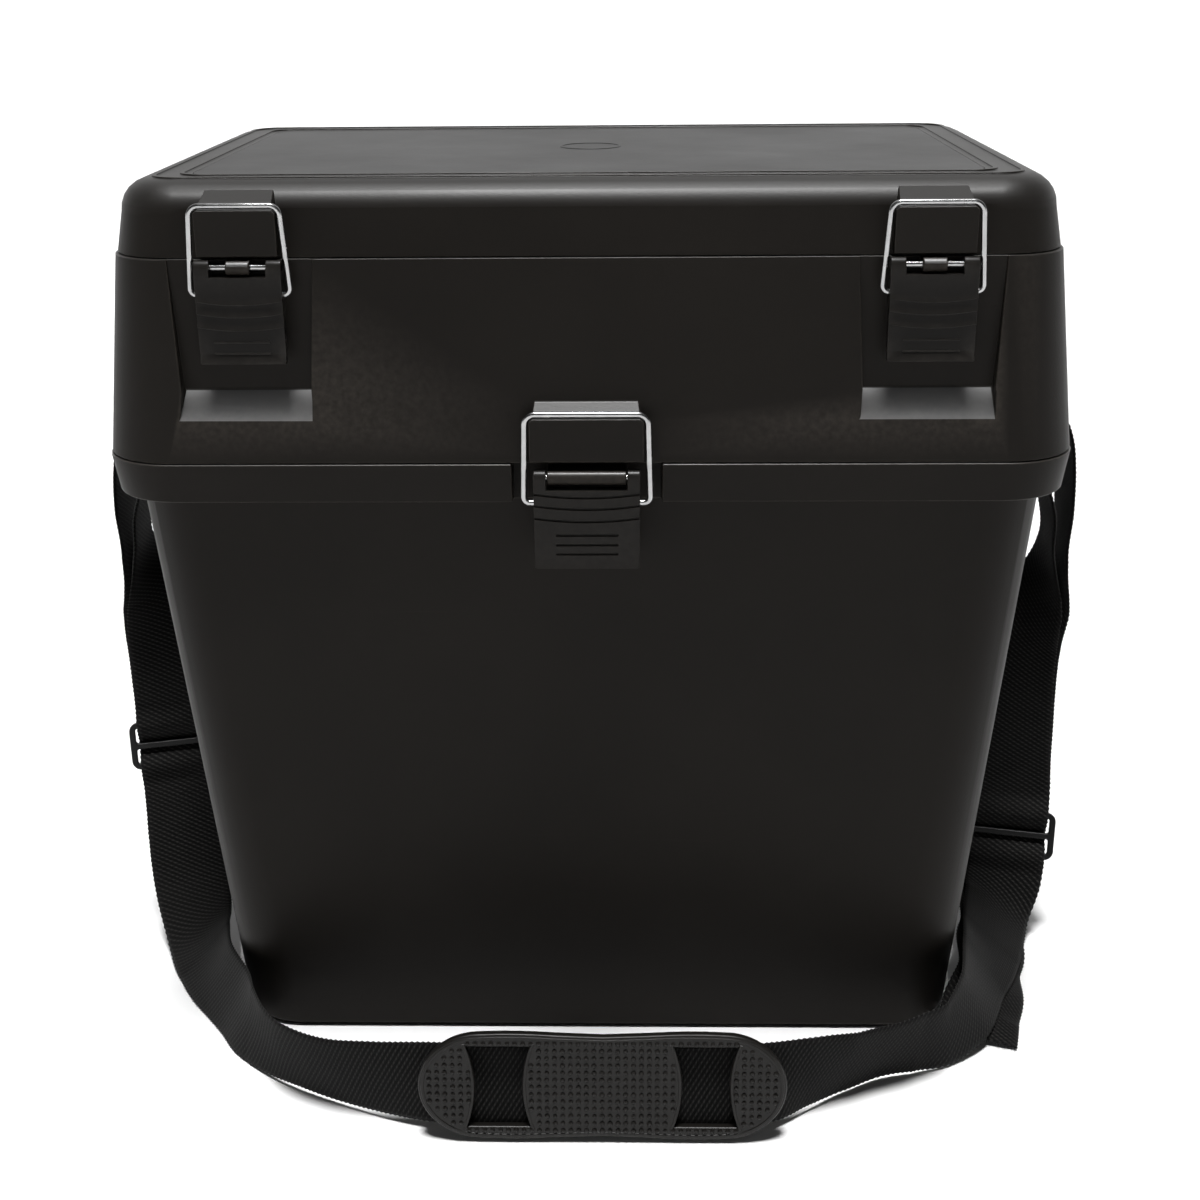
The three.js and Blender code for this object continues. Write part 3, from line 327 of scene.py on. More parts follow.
def noise(tree, place, scale, detail=2.0, roughness=0.5):
    return node(tree, "ShaderNodeTexNoise", {"Vector": place, "Scale": scale, "Detail": detail, "Roughness": roughness})


def spread(tree, value, low=0.0, high=1.0, from_low=0.3, from_high=0.7, **settings):
    """Moves a pattern's values from one range to another, with both ends held."""
    ends = {"From Min": from_low, "From Max": from_high, "To Min": low, "To Max": high}
    return node(tree, "ShaderNodeMapRange", {"Value": value, **ends}, **settings)


def blend_colours(tree, share, first, second):
    return node(tree, "ShaderNodeMix", {"Factor": share, "A": first, "B": second}, data_type="RGBA")


def maths(tree, operation, first, second):
    return node(tree, "ShaderNodeMath", {0: first, 1: second}, operation=operation)


def raise_surface(tree, shader, *layers):
    """Bump from several height patterns: each layer is a pattern, its strength and its height in metres."""
    under = {}
    for height, strength, distance in layers:
        under["Normal"] = node(tree, "ShaderNodeBump", {"Height": height, "Strength": strength, "Distance": distance,
                                                        **under})
    tree.links.new(under["Normal"], shader.inputs["Normal"])


def grey(value, warmth=0.0):
    return (value * (1 + warmth), value, value * (1 - warmth), 1.0)


print("material helpers are ready")

# %% [markdown]
# ## Moulded plastic
#
# The shells are moulded polypropylene. Three patterns make its finish: a grain under half a millimetre wide in the
# bump, a slow drift of the gloss, and faint long scuffs. Edges go paler and smoother, by a number called wear that
# the mesh carries. A surface that faces up is polished by sitting, so it may mirror more than a wall does.


# %% Moulded plastic finishes
PATCHES_PER_METRE, SPECKLE_PER_METRE = 9.0, 420.0
SCUFF_SCALE, SCUFF_TURN = (6.0, 6.0, 240.0), (0.5, 0.35, 0.2)
SCUFF_SHARE, SCUFF_DULLS, WEAR_POLISHES = 0.25, 0.06, 0.1
COARSE_GRAIN = 3.5


def moulded_plastic(name, colour, warmth, gloss, grain, height, specular, top_specular=None, **shader_values):
    made, tree, shader, place = new_material(name, Specular_IOR_Level=specular, **shader_values)
    if top_specular is not None:
        facing = node(tree, "ShaderNodeSeparateXYZ", {"Vector": node(tree, "ShaderNodeTexCoord", output="Normal")}, "Z")
        tree.links.new(spread(tree, facing, specular, top_specular, 0.2, 0.5), shader.inputs["Specular IOR Level"])
    worn = node(tree, "ShaderNodeAttribute", output="Fac", attribute_name="wear")
    patches = noise(tree, place, PATCHES_PER_METRE, 4.0, 0.6)
    speckle = noise(tree, place, SPECKLE_PER_METRE, 3.0)
    stretched = node(tree, "ShaderNodeMapping", {"Vector": place, "Scale": SCUFF_SCALE, "Rotation": SCUFF_TURN})
    scuffs = spread(tree, noise(tree, stretched, 1.4, 5.0, 0.7), 0.0, 1.0, 0.66, 0.78)
    edge = maths(tree, "MULTIPLY", worn, spread(tree, speckle, 0.35, 1.0))
    dark, pale, scuffed, bare = (grey(colour * times, warmth) for times in (0.85, 1.15, 2.2, 3.0))
    base = blend_colours(tree, spread(tree, patches), dark, pale)
    used = blend_colours(tree, maths(tree, "MULTIPLY", scuffs, SCUFF_SHARE), base, scuffed)
    tree.links.new(blend_colours(tree, edge, used, bare), shader.inputs["Base Color"])
    rough = maths(tree, "ADD", spread(tree, patches, *gloss), maths(tree, "MULTIPLY", scuffs, SCUFF_DULLS))
    tree.links.new(maths(tree, "SUBTRACT", rough, maths(tree, "MULTIPLY", edge, WEAR_POLISHES)),
                   shader.inputs["Roughness"])
    fine, coarse = noise(tree, place, grain, 1.0), noise(tree, place, grain / COARSE_GRAIN, 2.0)
    raise_surface(tree, shader, (fine, 0.55, height), (coarse, 0.35, height * 2))
    return made


shell_plastic = moulded_plastic("satin shell plastic", 0.0095, 0.15, gloss=(0.42, 0.5), grain=2600.0,
                                height=0.00004, specular=0.08, top_specular=0.55)
ledge_plastic = moulded_plastic("polished ledge plastic", 0.012, 0.05, gloss=(0.5, 0.56), grain=2600.0,
                                height=0.00003, specular=1.0, IOR=1.8)
seat_plastic = moulded_plastic("grained seat plastic", 0.016, 0.03, gloss=(0.42, 0.55), grain=1500.0,
                               height=0.00009, specular=0.45)
latch_plastic = moulded_plastic("smooth latch plastic", 0.008, 0.1, gloss=(0.34, 0.42), grain=3400.0,
                                height=0.00002, specular=0.1, top_specular=0.2)
slider_plastic = moulded_plastic("slider plastic", 0.007, 0.0, gloss=(0.3, 0.4), grain=3000.0,
                                 height=0.00002, specular=0.2)
rubber = moulded_plastic("dry black rubber", 0.0062, 0.15, gloss=(0.36, 0.48), grain=2000.0,
                         height=0.00002, specular=0.3)
print("plastics:", [made.name for made in (shell_plastic, seat_plastic, latch_plastic, slider_plastic, rubber)])

# %% [markdown]
# ## Bright wire
#
# The bails and pins are plated steel. The plating shows dull patches a few millimetres wide, in its gloss and its
# colour, and small pits, which are in the bump.


# %% Steel finish
def plated_steel(name):
    made, tree, shader, place = new_material(name, Metallic=1.0)
    patches, pits = noise(tree, place, 160.0, 4.0, 0.6), noise(tree, place, 2400.0, 2.0)
    colour = blend_colours(tree, spread(tree, patches), grey(0.38), grey(0.5))
    tree.links.new(colour, shader.inputs["Base Color"])
    tree.links.new(spread(tree, patches, 0.2, 0.28), shader.inputs["Roughness"])
    raise_surface(tree, shader, (pits, 0.15, 0.00001))
    return made


steel = plated_steel("plated steel wire")
print("steel:", steel.name)

# %% [markdown]
# ## The strap's webbing
#
# The strap is 38 mm polypropylene webbing, 1.8 mm thick. It is one long piece whose ends go up through a slider on
# each side, round a bar at the rim and back down. A curve with a flat profile could draw it, but its twist is hard
# to hold, so a ribbon runs fair through crossings that are given by their two edges. A row is one crossing: x, y and
# z of its one edge, then of its other, in metres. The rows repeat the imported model's own.

# %% The strap's route
MAIN_ROUTE = [
    (-0.2018, -0.019, 0.2698, -0.2018, 0.019, 0.2698), (-0.204, -0.019, 0.258, -0.204, 0.019, 0.258),
    (-0.2105, -0.0187, 0.244, -0.2105, 0.0193, 0.244), (-0.219, -0.0183, 0.222, -0.219, 0.0197, 0.222),
    (-0.2218, -0.018, 0.2, -0.2218, 0.02, 0.2), (-0.229, -0.012, 0.172, -0.205, 0.017, 0.176),
    (-0.232, -0.008, 0.148, -0.1985, 0.009, 0.154), (-0.231, -0.011, 0.121, -0.196, 0.001, 0.128),
    (-0.23, -0.014, 0.095, -0.195, -0.004, 0.103), (-0.2275, -0.022, 0.07, -0.1925, -0.011, 0.078),
    (-0.2255, -0.03, 0.047, -0.191, -0.018, 0.057), (-0.2225, -0.0375, 0.025, -0.1885, -0.028, 0.039),
    (-0.216, -0.05, 0.0066, -0.183, -0.045, 0.0256), (-0.204, -0.071, 0.002, -0.1785, -0.069, 0.0283),
    (-0.1885, -0.094, 0.0026, -0.1695, -0.099, 0.0336), (-0.175, -0.113, 0.0036, -0.1575, -0.1215, 0.034),
    (-0.163, -0.1295, 0.0036, -0.147, -0.143, 0.0352), (-0.139, -0.152, 0.003, -0.133, -0.1645, 0.0384),
    (-0.116, -0.1655, 0.0022, -0.112, -0.1755, 0.0386), (-0.092, -0.1765, 0.0028, -0.09, -0.1795, 0.0406),
    (-0.066, -0.1844, 0.0036, -0.065, -0.1802, 0.0414), (-0.03, -0.1864, 0.0038, -0.03, -0.1812, 0.0414),
    (0.005, -0.1864, 0.0038, 0.005, -0.1812, 0.0414), (0.04, -0.1864, 0.0038, 0.04, -0.1812, 0.0414),
    (0.076, -0.1834, 0.0036, 0.075, -0.1794, 0.0414), (0.0945, -0.171, 0.0032, 0.0925, -0.176, 0.0405),
    (0.1125, -0.1575, 0.002, 0.109, -0.17, 0.0375), (0.128, -0.1485, 0.002, 0.1235, -0.163, 0.0368),
    (0.149, -0.142, 0.0028, 0.139, -0.1555, 0.0371), (0.165, -0.1345, 0.0032, 0.1515, -0.147, 0.0362),
    (0.181, -0.121, 0.0066, 0.164, -0.1275, 0.0396), (0.1935, -0.093, 0.01, 0.1715, -0.096, 0.04),
    (0.2055, -0.067, 0.0095, 0.177, -0.068, 0.034), (0.2174, -0.034, 0.0118, 0.1854, -0.031, 0.0318),
    (0.2232, -0.027, 0.0274, 0.1887, -0.018, 0.0394), (0.225, -0.02, 0.046, 0.1905, -0.011, 0.058),
    (0.2269, -0.013, 0.0646, 0.1924, -0.004, 0.0766), (0.226, -0.011, 0.092, 0.1915, 0.002, 0.101),
    (0.2255, -0.008, 0.146, 0.195, 0.013, 0.151), (0.225, -0.0144, 0.1708, 0.206, 0.018, 0.1732),
    (0.2184, -0.018, 0.198, 0.2184, 0.02, 0.198), (0.2165, -0.0183, 0.222, 0.2165, 0.0197, 0.222),
    (0.204, -0.0189, 0.257, 0.204, 0.0191, 0.257), (0.2018, -0.019, 0.2698, 0.2018, 0.019, 0.2698),
]
LEFT_END_ROUTE = [
    (-0.2018, -0.019, 0.2712, -0.2018, 0.019, 0.2712), (-0.203, -0.019, 0.2739, -0.203, 0.019, 0.2739),
    (-0.2058, -0.019, 0.2749, -0.2058, 0.019, 0.2749), (-0.211, -0.019, 0.2736, -0.211, 0.019, 0.2736),
    (-0.2175, -0.0189, 0.268, -0.2175, 0.0191, 0.268), (-0.223, -0.0187, 0.258, -0.223, 0.0193, 0.258),
    (-0.2263, -0.0185, 0.243, -0.2263, 0.0195, 0.243), (-0.2278, -0.0182, 0.224, -0.2278, 0.0198, 0.224),
    (-0.2275, -0.0176, 0.201, -0.2275, 0.0204, 0.201), (-0.2328, -0.0086, 0.172, -0.2088, 0.0204, 0.176),
    (-0.2342, -0.0036, 0.148, -0.2007, 0.0134, 0.154), (-0.2326, -0.0062, 0.121, -0.1976, 0.0058, 0.128),
    (-0.2313, -0.0082, 0.0937, -0.1963, 0.0018, 0.1017), (-0.2303, -0.0114, 0.079, -0.195, -0.0014, 0.0865),
    (-0.2287, -0.0183, 0.056, -0.1936, -0.0073, 0.065),
]
RIGHT_END_ROUTE = [
    (0.2018, -0.019, 0.2712, 0.2018, 0.019, 0.2712), (0.203, -0.019, 0.2739, 0.203, 0.019, 0.2739),
    (0.2058, -0.019, 0.2749, 0.2058, 0.019, 0.2749), (0.211, -0.019, 0.2736, 0.211, 0.019, 0.2736),
    (0.217, -0.0189, 0.268, 0.217, 0.0191, 0.268), (0.2215, -0.0187, 0.258, 0.2215, 0.0193, 0.258),
    (0.224, -0.0184, 0.243, 0.224, 0.0196, 0.243), (0.225, -0.0182, 0.222, 0.225, 0.0198, 0.222),
    (0.2249, -0.0176, 0.198, 0.2249, 0.0204, 0.198), (0.2298, -0.0116, 0.1708, 0.2108, 0.0208, 0.1732),
    (0.2287, -0.0034, 0.146, 0.1982, 0.0176, 0.151), (0.228, -0.0056, 0.092, 0.1935, 0.0074, 0.101),
    (0.2279, -0.0075, 0.0631, 0.1934, 0.0015, 0.0751), (0.226, -0.0142, 0.0446, 0.1915, -0.0052, 0.0566),
    (0.2222, -0.0227, 0.0242, 0.1877, -0.0137, 0.0362), (0.215, -0.0297, 0.007, 0.183, -0.0267, 0.027),
    (0.212, -0.05, 0.0026, 0.1805, -0.05, 0.0204), (0.2065, -0.067, 0.0019, 0.1755, -0.064, 0.022),
    (0.2025, -0.092, 0.003, 0.172, -0.091, 0.0224), (0.198, -0.106, 0.004, 0.1625, -0.108, 0.0136),
    (0.194, -0.121, 0.0033, 0.1565, -0.122, 0.0051),
]
WEB_WIDTH, WEB_THICK = 0.038, 0.0018
MEASURES_PER_ROW = 60
LEFT_SLIDER_ROW, RIGHT_SLIDER_ROW = 8, 35
print("strap rows:", len(MAIN_ROUTE), len(LEFT_END_ROUTE), len(RIGHT_END_ROUTE))


# %% [markdown]
# A smooth curve passes through every row, at a pace that goes with the square root of each gap, which keeps out
# loops and bulges. One carries the middle of the webbing and one the direction across it, and the length is measured
# so that the weave keeps one pitch.


# %% A fair curve through points
class FairCurve:
    """A smooth curve through points, paced by the square roots of the gaps between them."""

    def __init__(self, points):
        first = points[0] * 2 - points[1]
        last = points[-1] * 2 - points[-2]
        self.points = [first, *points, last]
        self.spans = len(points) - 1

    def at(self, share):
        place = min(max(share, 0.0), 1.0) * self.spans
        index = min(int(place), self.spans - 1)
        t = place - index
        a, b, c, d = self.points[index:index + 4]
        before, step, after = ((q - p).length ** 0.5 for p, q in ((a, b), (b, c), (c, d)))
        step = step if step > 1e-4 else 1.0
        before = before if before > 1e-4 else step
        after = after if after > 1e-4 else step
        start = ((b - a) / before - (c - a) / (before + step) + (c - b) / step) * step
        end = ((c - b) / step - (d - b) / (step + after) + (d - c) / after) * step
        return (b + start * t + (3 * (c - b) - 2 * start - end) * t ** 2 + (2 * (b - c) + start + end) * t ** 3)

    def along(self, share):
        step = 1e-4
        return (self.at(min(share + step, 1.0)) - self.at(max(share - step, 0.0))).normalized()


class Route:
    """The webbing's middle and its crossing direction, at a distance along it."""

    def __init__(self, rows):
        edges = [(Vector(row[:3]), Vector(row[3:])) for row in rows]
        self.middle = FairCurve([(a + b) / 2 for a, b in edges])
        self.across = FairCurve([(a - b).normalized() for a, b in edges])
        count = (len(rows) - 1) * MEASURES_PER_ROW
        points = [self.middle.at(i / count) for i in range(count + 1)]
        self.lengths = [0.0]
        for p, q in zip(points, points[1:]):
            self.lengths.append(self.lengths[-1] + (q - p).length)
        self.length = self.lengths[-1]

    def share(self, distance):
        last = len(self.lengths) - 1
        row = min(bisect_right(self.lengths, distance), last) - 1
        return (row + (distance - self.lengths[row]) / (self.lengths[row + 1] - self.lengths[row])) / last

    def frame(self, distance):
        share = self.share(min(max(distance, 0.0), self.length))
        along = self.middle.along(share)
        out = self.across.at(share)
        out = (out - along * out.dot(along)).normalized()
        return self.middle.at(share), along, out, along.cross(out).normalized()


routes = [Route(rows) for rows in (MAIN_ROUTE, LEFT_END_ROUTE, RIGHT_END_ROUTE)]
main_route, _, tail_route = routes
holds = [main_route.lengths[row * MEASURES_PER_ROW] for row in (LEFT_SLIDER_ROW, RIGHT_SLIDER_ROW)]
print("lengths:", [round(route.length, 4) for route in routes], "held at", holds)

# %% [markdown]
# Where a slider holds the webbing, it runs straight, behind the slider's middle bar and in front of its outer bars,
# and then eases back to its own curve.


# %% The webbing's place near a slider
SLIDER_WIDTH, SLIDER_HEIGHT = 0.046, 0.024
SLIDER_THICK, SLIDER_BAR = 0.003, 0.003
SLIDER_PITCH = (SLIDER_HEIGHT - SLIDER_BAR) / 2
SLIDER_ROOM = 0.0008
WEAVE_DEPTH = (SLIDER_THICK + WEB_THICK) / 2 + SLIDER_ROOM


def held_place(route, held_at, distance):
    """The webbing's middle, its crossing and its back direction, with its weave through the sliders."""
    at, along, out, back = route.frame(distance)
    behind = 0.0
    for hold in held_at:
        past = distance - hold
        run = min(max((abs(past) - SLIDER_HEIGHT / 2) / (SLIDER_HEIGHT / 2), 0.0), 1.0)
        ease = 1 - run * run * (3 - 2 * run)
        hold_at, hold_along, hold_out, hold_back = route.frame(hold)
        at = at.lerp(hold_at + hold_along * past, ease)
        out = out.lerp(hold_out, ease).normalized()
        back = back.lerp(hold_back, ease).normalized()
        reach = abs(past) / SLIDER_PITCH
        if reach < 1:
            behind += WEAVE_DEPTH * cos(pi * reach)
        elif reach < 2:
            behind -= WEAVE_DEPTH * (1 - cos(pi * reach)) / 2
    return at + back * behind, out, back


print("the webbing runs", round(WEAVE_DEPTH * 1000, 2), "mm behind a slider's middle bar")

# %% [markdown]
# ## The woven surface
#
# Webbing is a plain weave of thick yarns: ribs every 2.3 mm, made of beads about 2 mm wide that lie half a pitch
# apart in neighbouring columns. Bump alone would leave the outline smooth, so the beads are real points: four rows
# to a rib, one column to a bead. The mesh also gets a map in metres and a number that is high on a bead's crest.


# %% The mesh of the webbing
RIB_PITCH, RIB_HEIGHT = 0.0023, 0.00034
ROWS_PER_RIB, BEAD_COLUMNS = 4, 19
EDGE_ROUND = 0.0006
BACK_OF_MAP = 0.1


def webbing_mesh(name, route, held_at):
    row_count = round(route.length / RIB_PITCH) * ROWS_PER_RIB
    columns = [2 * i / BEAD_COLUMNS - 1 for i in range(BEAD_COLUMNS + 1)]
    section = [(u, 1) for u in columns] + [(u, -1) for u in reversed(columns)]
    points, place_on, crests = [], [], []
    for row in range(row_count + 1):
        distance = route.length * row / row_count
        at, out, back = held_place(route, held_at, distance)
        for i, (u, side) in enumerate(section):
            column = i if side > 0 else 2 * BEAD_COLUMNS + 1 - i
            lift = sin(pi * (row / ROWS_PER_RIB + 0.5 * (column % 2))) ** 2
            hollow = RIB_HEIGHT * (1 - lift)
            edge = abs(u) == 1
            half = WEB_THICK / 2 - hollow - (EDGE_ROUND if edge else 0.0)
            across = u * (WEB_WIDTH / 2 - (hollow if edge else 0.0))
            points.append(at + out * across + back * side * half)
            place_on.append((distance, u * WEB_WIDTH / 2 + side * BACK_OF_MAP))
            crests.append(lift)
    ring, last = len(section), row_count * len(section)
    faces = []
    for row in range(row_count):
        for i in range(ring):
            a, b = row * ring + i, row * ring + (i + 1) % ring
            faces.append((a, b, b + ring, a + ring))
    for i in range(BEAD_COLUMNS):
        j = ring - 1 - i
        faces += [(j, j - 1, i + 1, i), (last + i, last + i + 1, last + j - 1, last + j)]
    strap = mesh_object(name, points, faces)
    layer = strap.data.uv_layers.new(name="weave")
    for loop in strap.data.loops:
        layer.data[loop.index].uv = place_on[loop.vertex_index]
    strap.data.attributes.new("crest", "FLOAT", "POINT").data.foreach_set("value", crests)
    strap.data.shade_smooth()
    return strap


print("ribs on the main run:", round(main_route.length / RIB_PITCH))

# %% [markdown]
# In the material, the crest number makes the tops of the beads paler than the gaps, which is a painted highlight on the
# crests and painted shade in the hollows between them; fine waves are the yarns, and noise gives fuzz and a slow
# fading. A faint sheen stands for the loose fibres.


# %% Weave the three lengths of webbing
def woven_webbing(name):
    made, tree, shader, place = new_material(name, Specular_IOR_Level=0.12, Sheen_Weight=0.04, Sheen_Roughness=0.5)
    ribs = {"Vector": node(tree, "ShaderNodeUVMap", uv_map="weave"), "Scale": 600.0, "Distortion": 2.5, "Detail": 1.0,
            "Detail Scale": 1.5}
    yarns = node(tree, "ShaderNodeTexWave", ribs, "Fac", wave_type="BANDS", bands_direction="Y")
    fuzz, fade = noise(tree, place, 1900.0, 3.0, 0.7), noise(tree, place, 22.0, 3.0)
    crest = node(tree, "ShaderNodeAttribute", output="Fac", attribute_name="crest")
    # Painted light: the crest share makes the bead tops paler, a painted highlight, and the near-black gap colour is
    # painted shade.
    high = maths(tree, "MULTIPLY", spread(tree, crest, from_low=0.5, from_high=1.0), spread(tree, fuzz, 0.6, 1.0))
    painted_gap_shade, top, faded = (grey(value, 0.05) for value in (0.0005, 0.04, 0.008))
    threads = blend_colours(tree, high, painted_gap_shade, top)
    tree.links.new(blend_colours(tree, spread(tree, fade, 0.0, 0.25), threads, faded), shader.inputs["Base Color"])
    tree.links.new(spread(tree, fuzz, 0.7, 0.95), shader.inputs["Roughness"])
    raise_surface(tree, shader, (yarns, 0.5, 0.00012), (fuzz, 0.5, 0.00008))
    return made


webbing_cloth = woven_webbing("woven black webbing")
held_at_all = (holds, (), ())
straps = [webbing_mesh(f"strap_webbing_{name}", route, held_at)
          for name, route, held_at in zip(("main", "left_end", "right_end"), routes, held_at_all)]
for strap, cad_node in zip(straps, ("strap_main", "strap_end_left", "strap_end_right")):
    settle(strap, "tub", "webbing", webbing_cloth, [cad_node])

# %% [markdown]
# ## Sliders
#
# Each slider is a moulded frame with a middle bar and two slots that the webbing passes through: a flat plate with
# holes. One helper fills an outline round its holes, pushes it up to its thickness and rounds the rims. It makes the
# pad and the seat panel too.


# %% Helpers for flat plates
def rounded_loop(half_x, half_y, radius, steps=6, centre_y=0.0):
    points = []
    for corner, (sx, sy) in enumerate(((1, 1), (-1, 1), (-1, -1), (1, -1))):
        for i in range(steps + 1):
            angle = (corner + i / steps) * pi / 2
            points.append((sx * (half_x - radius) + radius * cos(angle),
                           centre_y + sy * (half_y - radius) + radius * sin(angle)))
    return points


def flat_plate(name, loops, thickness, edge):
    """A plate with rounded edges from an outline and holes, lying in its own XY plane, centred on it."""
    shape = bmesh.new()
    rims = []
    for loop in loops:
        corners = [shape.verts.new((x, y, -thickness / 2)) for x, y in loop]
        rims += [shape.edges.new((p, q)) for p, q in zip(corners, corners[1:] + corners[:1])]
    bmesh.ops.triangle_fill(shape, edges=rims, use_beauty=True)
    top = bmesh.ops.extrude_face_region(shape, geom=shape.faces[:])["geom"]
    lifted = [part for part in top if isinstance(part, bmesh.types.BMVert)]
    bmesh.ops.translate(shape, vec=(0, 0, thickness), verts=lifted)
    bmesh.ops.recalc_face_normals(shape, faces=shape.faces)
    level_rims = [rim for rim in shape.edges if rim.calc_face_angle(0.0) > radians(60)
                  and abs(rim.verts[0].co.z - rim.verts[1].co.z) < edge]
    bmesh.ops.bevel(shape, geom=level_rims, offset=edge, segments=3, profile=0.5, affect="EDGES", clamp_overlap=False)
    return even_normals(object_from(shape, name))


print("plate helpers are ready")

# %% [markdown]
# Each slider stands at its row of the strap's route, turned with the webbing there.

# %% Mould the sliders
SLIDER_CORNER, SLOT_CORNER, SLIDER_EDGE = 0.0045, 0.0012, 0.0007
slot_half = (SLIDER_HEIGHT - 3 * SLIDER_BAR) / 4
slot_centre = SLIDER_BAR / 2 + slot_half
sliders = []
for side_name, hold in zip(("left", "right"), holds):
    at, along, out, back = main_route.frame(hold)
    slots = [rounded_loop(SLIDER_WIDTH / 2 - SLIDER_BAR, slot_half, SLOT_CORNER, 4, side * slot_centre)
             for side in (-1, 1)]
    outline = rounded_loop(SLIDER_WIDTH / 2, SLIDER_HEIGHT / 2, SLIDER_CORNER)
    slider = flat_plate(f"strap_slider_{side_name}", [outline, *slots], SLIDER_THICK, SLIDER_EDGE)
    slider.data.transform(Matrix.Translation(at) @ Matrix((out, along, out.cross(along))).transposed().to_4x4())
    sliders.append(settle(slider, "tub", "slider", slider_plastic, [f"slider_{side_name}"]))

# %% [markdown]
# ## The shoulder pad
#
# A rubber plate lies on the strap, with two windows that show the webbing and two sleeves behind that it runs
# through. The outline is waisted with round ends, and the windows have bowed sides. A fine border, lips beside the
# windows and the small bumps follow.

# %% Mould the pad's plate
PAD_AT, PAD_LEAN = Vector((0.0051, -0.1835, 0.0248)), atan2(7, 50)
PAD_HALF_LENGTH, PAD_HALF_HEIGHT, PAD_THICK, PAD_WAIST = 0.0774, 0.0242, 0.0042, 0.94
WINDOW_AT, WINDOW_HALF_X, WINDOW_HALF_Y, WINDOW_BOW = 0.0435, 0.0136, 0.0182, 0.0037
WEBBING_CLEAR = 0.0011
WEBBING_ROOM = WEB_THICK / 2 + WEBBING_CLEAR
PAD_STEPS, PAD_EDGE = 96, 0.0011


def pad_rise(x, inset=0.0):
    """How high the pad's outline is at a place along it: half a circle at each end, with a waist between."""
    length, height = PAD_HALF_LENGTH - inset, PAD_HALF_HEIGHT - inset
    into_end = min(max(abs(x) - (length - height), 0.0), height)
    lobe = PAD_WAIST + (1 - PAD_WAIST) * sin(min(abs(x) / length, 1.0) * pi) ** 2
    return sqrt(height ** 2 - into_end ** 2) * lobe


def pad_loop(inset=0.0):
    """The pad's outline, moved in by an inset, as points that lie closer where it bends."""
    points = []
    for i in range(PAD_STEPS):
        angle = 2 * pi * i / PAD_STEPS
        x = (PAD_HALF_LENGTH - inset) * copysign(abs(cos(angle)) ** 0.5, cos(angle))
        points.append((x, copysign(pad_rise(x, inset), sin(angle))))
    return points


def window_side(side, end, steps, out=0.0, beyond=0.0):
    """One bowed side of a window, from its top to its foot, moved out by a little and drawn out beyond it."""
    rises = [1 - 2 * i / steps for i in range(steps + 1)]
    return [(side * WINDOW_AT + end * (WINDOW_HALF_X + out - WINDOW_BOW * (1 - rise * rise)),
             rise * (WINDOW_HALF_Y + beyond)) for rise in rises]


def stand_on_pad(part, y):
    """Stands a flat part up in the pad's own plane, before the webbing by y."""
    part.data.transform(Matrix.Translation(PAD_AT + Vector((0, y, 0))) @ Matrix.Rotation(pi / 2, 4, "X"))
    return part


windows = [window_side(side, 1, 10) + window_side(side, -1, 10)[::-1] for side in (-1, 1)]
plate = flat_plate("shoulder_pad_plate", [pad_loop(), *windows], PAD_THICK, PAD_EDGE)
stand_on_pad(plate, -WEBBING_ROOM - PAD_THICK / 2)
print("pad plate:", len(plate.data.polygons), "faces")

# %% [markdown]
# ## Trees of Geometry Nodes
#
# Some details repeat by the hundred, and some follow a line. A tree of Geometry Nodes makes them from a few points
# and sizes. One helper builds a tree with named inputs. Another sets the inputs by their identifiers on an object,
# before anything is evaluated, and keeps the result as a plain mesh.


# %% Helpers for Geometry Nodes
def new_tree(name, inputs):
    tree = bpy.data.node_groups.new(name, "GeometryNodeTree")
    tree.interface.new_socket("Geometry", in_out="OUTPUT", socket_type="NodeSocketGeometry")
    tree.interface.new_socket("Geometry", in_out="INPUT", socket_type="NodeSocketGeometry")
    kinds = {float: "NodeSocketFloat", int: "NodeSocketInt"}
    for label, value in inputs.items():
        tree.interface.new_socket(label, in_out="INPUT", socket_type=kinds[type(value)]).default_value = value
    return tree, tree.nodes.new("NodeGroupInput").outputs


def close_tree(tree, geometry, finish):
    """Realises the instances and sets the material, which every tree ends in."""
    real = node(tree, "GeometryNodeRealizeInstances", {"Geometry": geometry})
    shaded = node(tree, "GeometryNodeSetShadeSmooth", {"Geometry": real})
    finished = node(tree, "GeometryNodeSetMaterial", {"Geometry": shaded, "Material": finish})
    tree.links.new(finished, tree.nodes.new("NodeGroupOutput").inputs["Geometry"])
    return tree


def grow(obj, tree, name, sizes):
    """Runs a tree on an object and returns the plain mesh that it makes."""
    modifier = obj.modifiers.new(tree.name, "NODES")
    modifier.node_group = tree
    for item in tree.interface.items_tree:
        if item.in_out == "INPUT" and item.name in sizes:
            modifier[item.identifier] = sizes[item.name]
    return plain_mesh(obj, name)


print("tree helpers are ready")

# %% [markdown]
# ## The pad's bumps
#
# The rubber grips with rows of small raised bumps 3.3 mm apart in three zones, and one row on the thin rail above and
# below each window. An array could set out the low domes, but the zones have curved sides, so the points are worked
# out from the outline and the tree sets one dome on each.


# %% Grow the pad's bumps
BUMP_SIZES = {"Bump Radius": 0.0011, "Bump Height": 0.0012, "Seed": 3}
BUMP_PITCH, BUMP_BORDER, BUMP_SINKS = 0.0033, 0.0029, 0.0001
BUMP_FROM_WINDOW_X, BUMP_FROM_WINDOW_Y = 0.0022, 0.0012


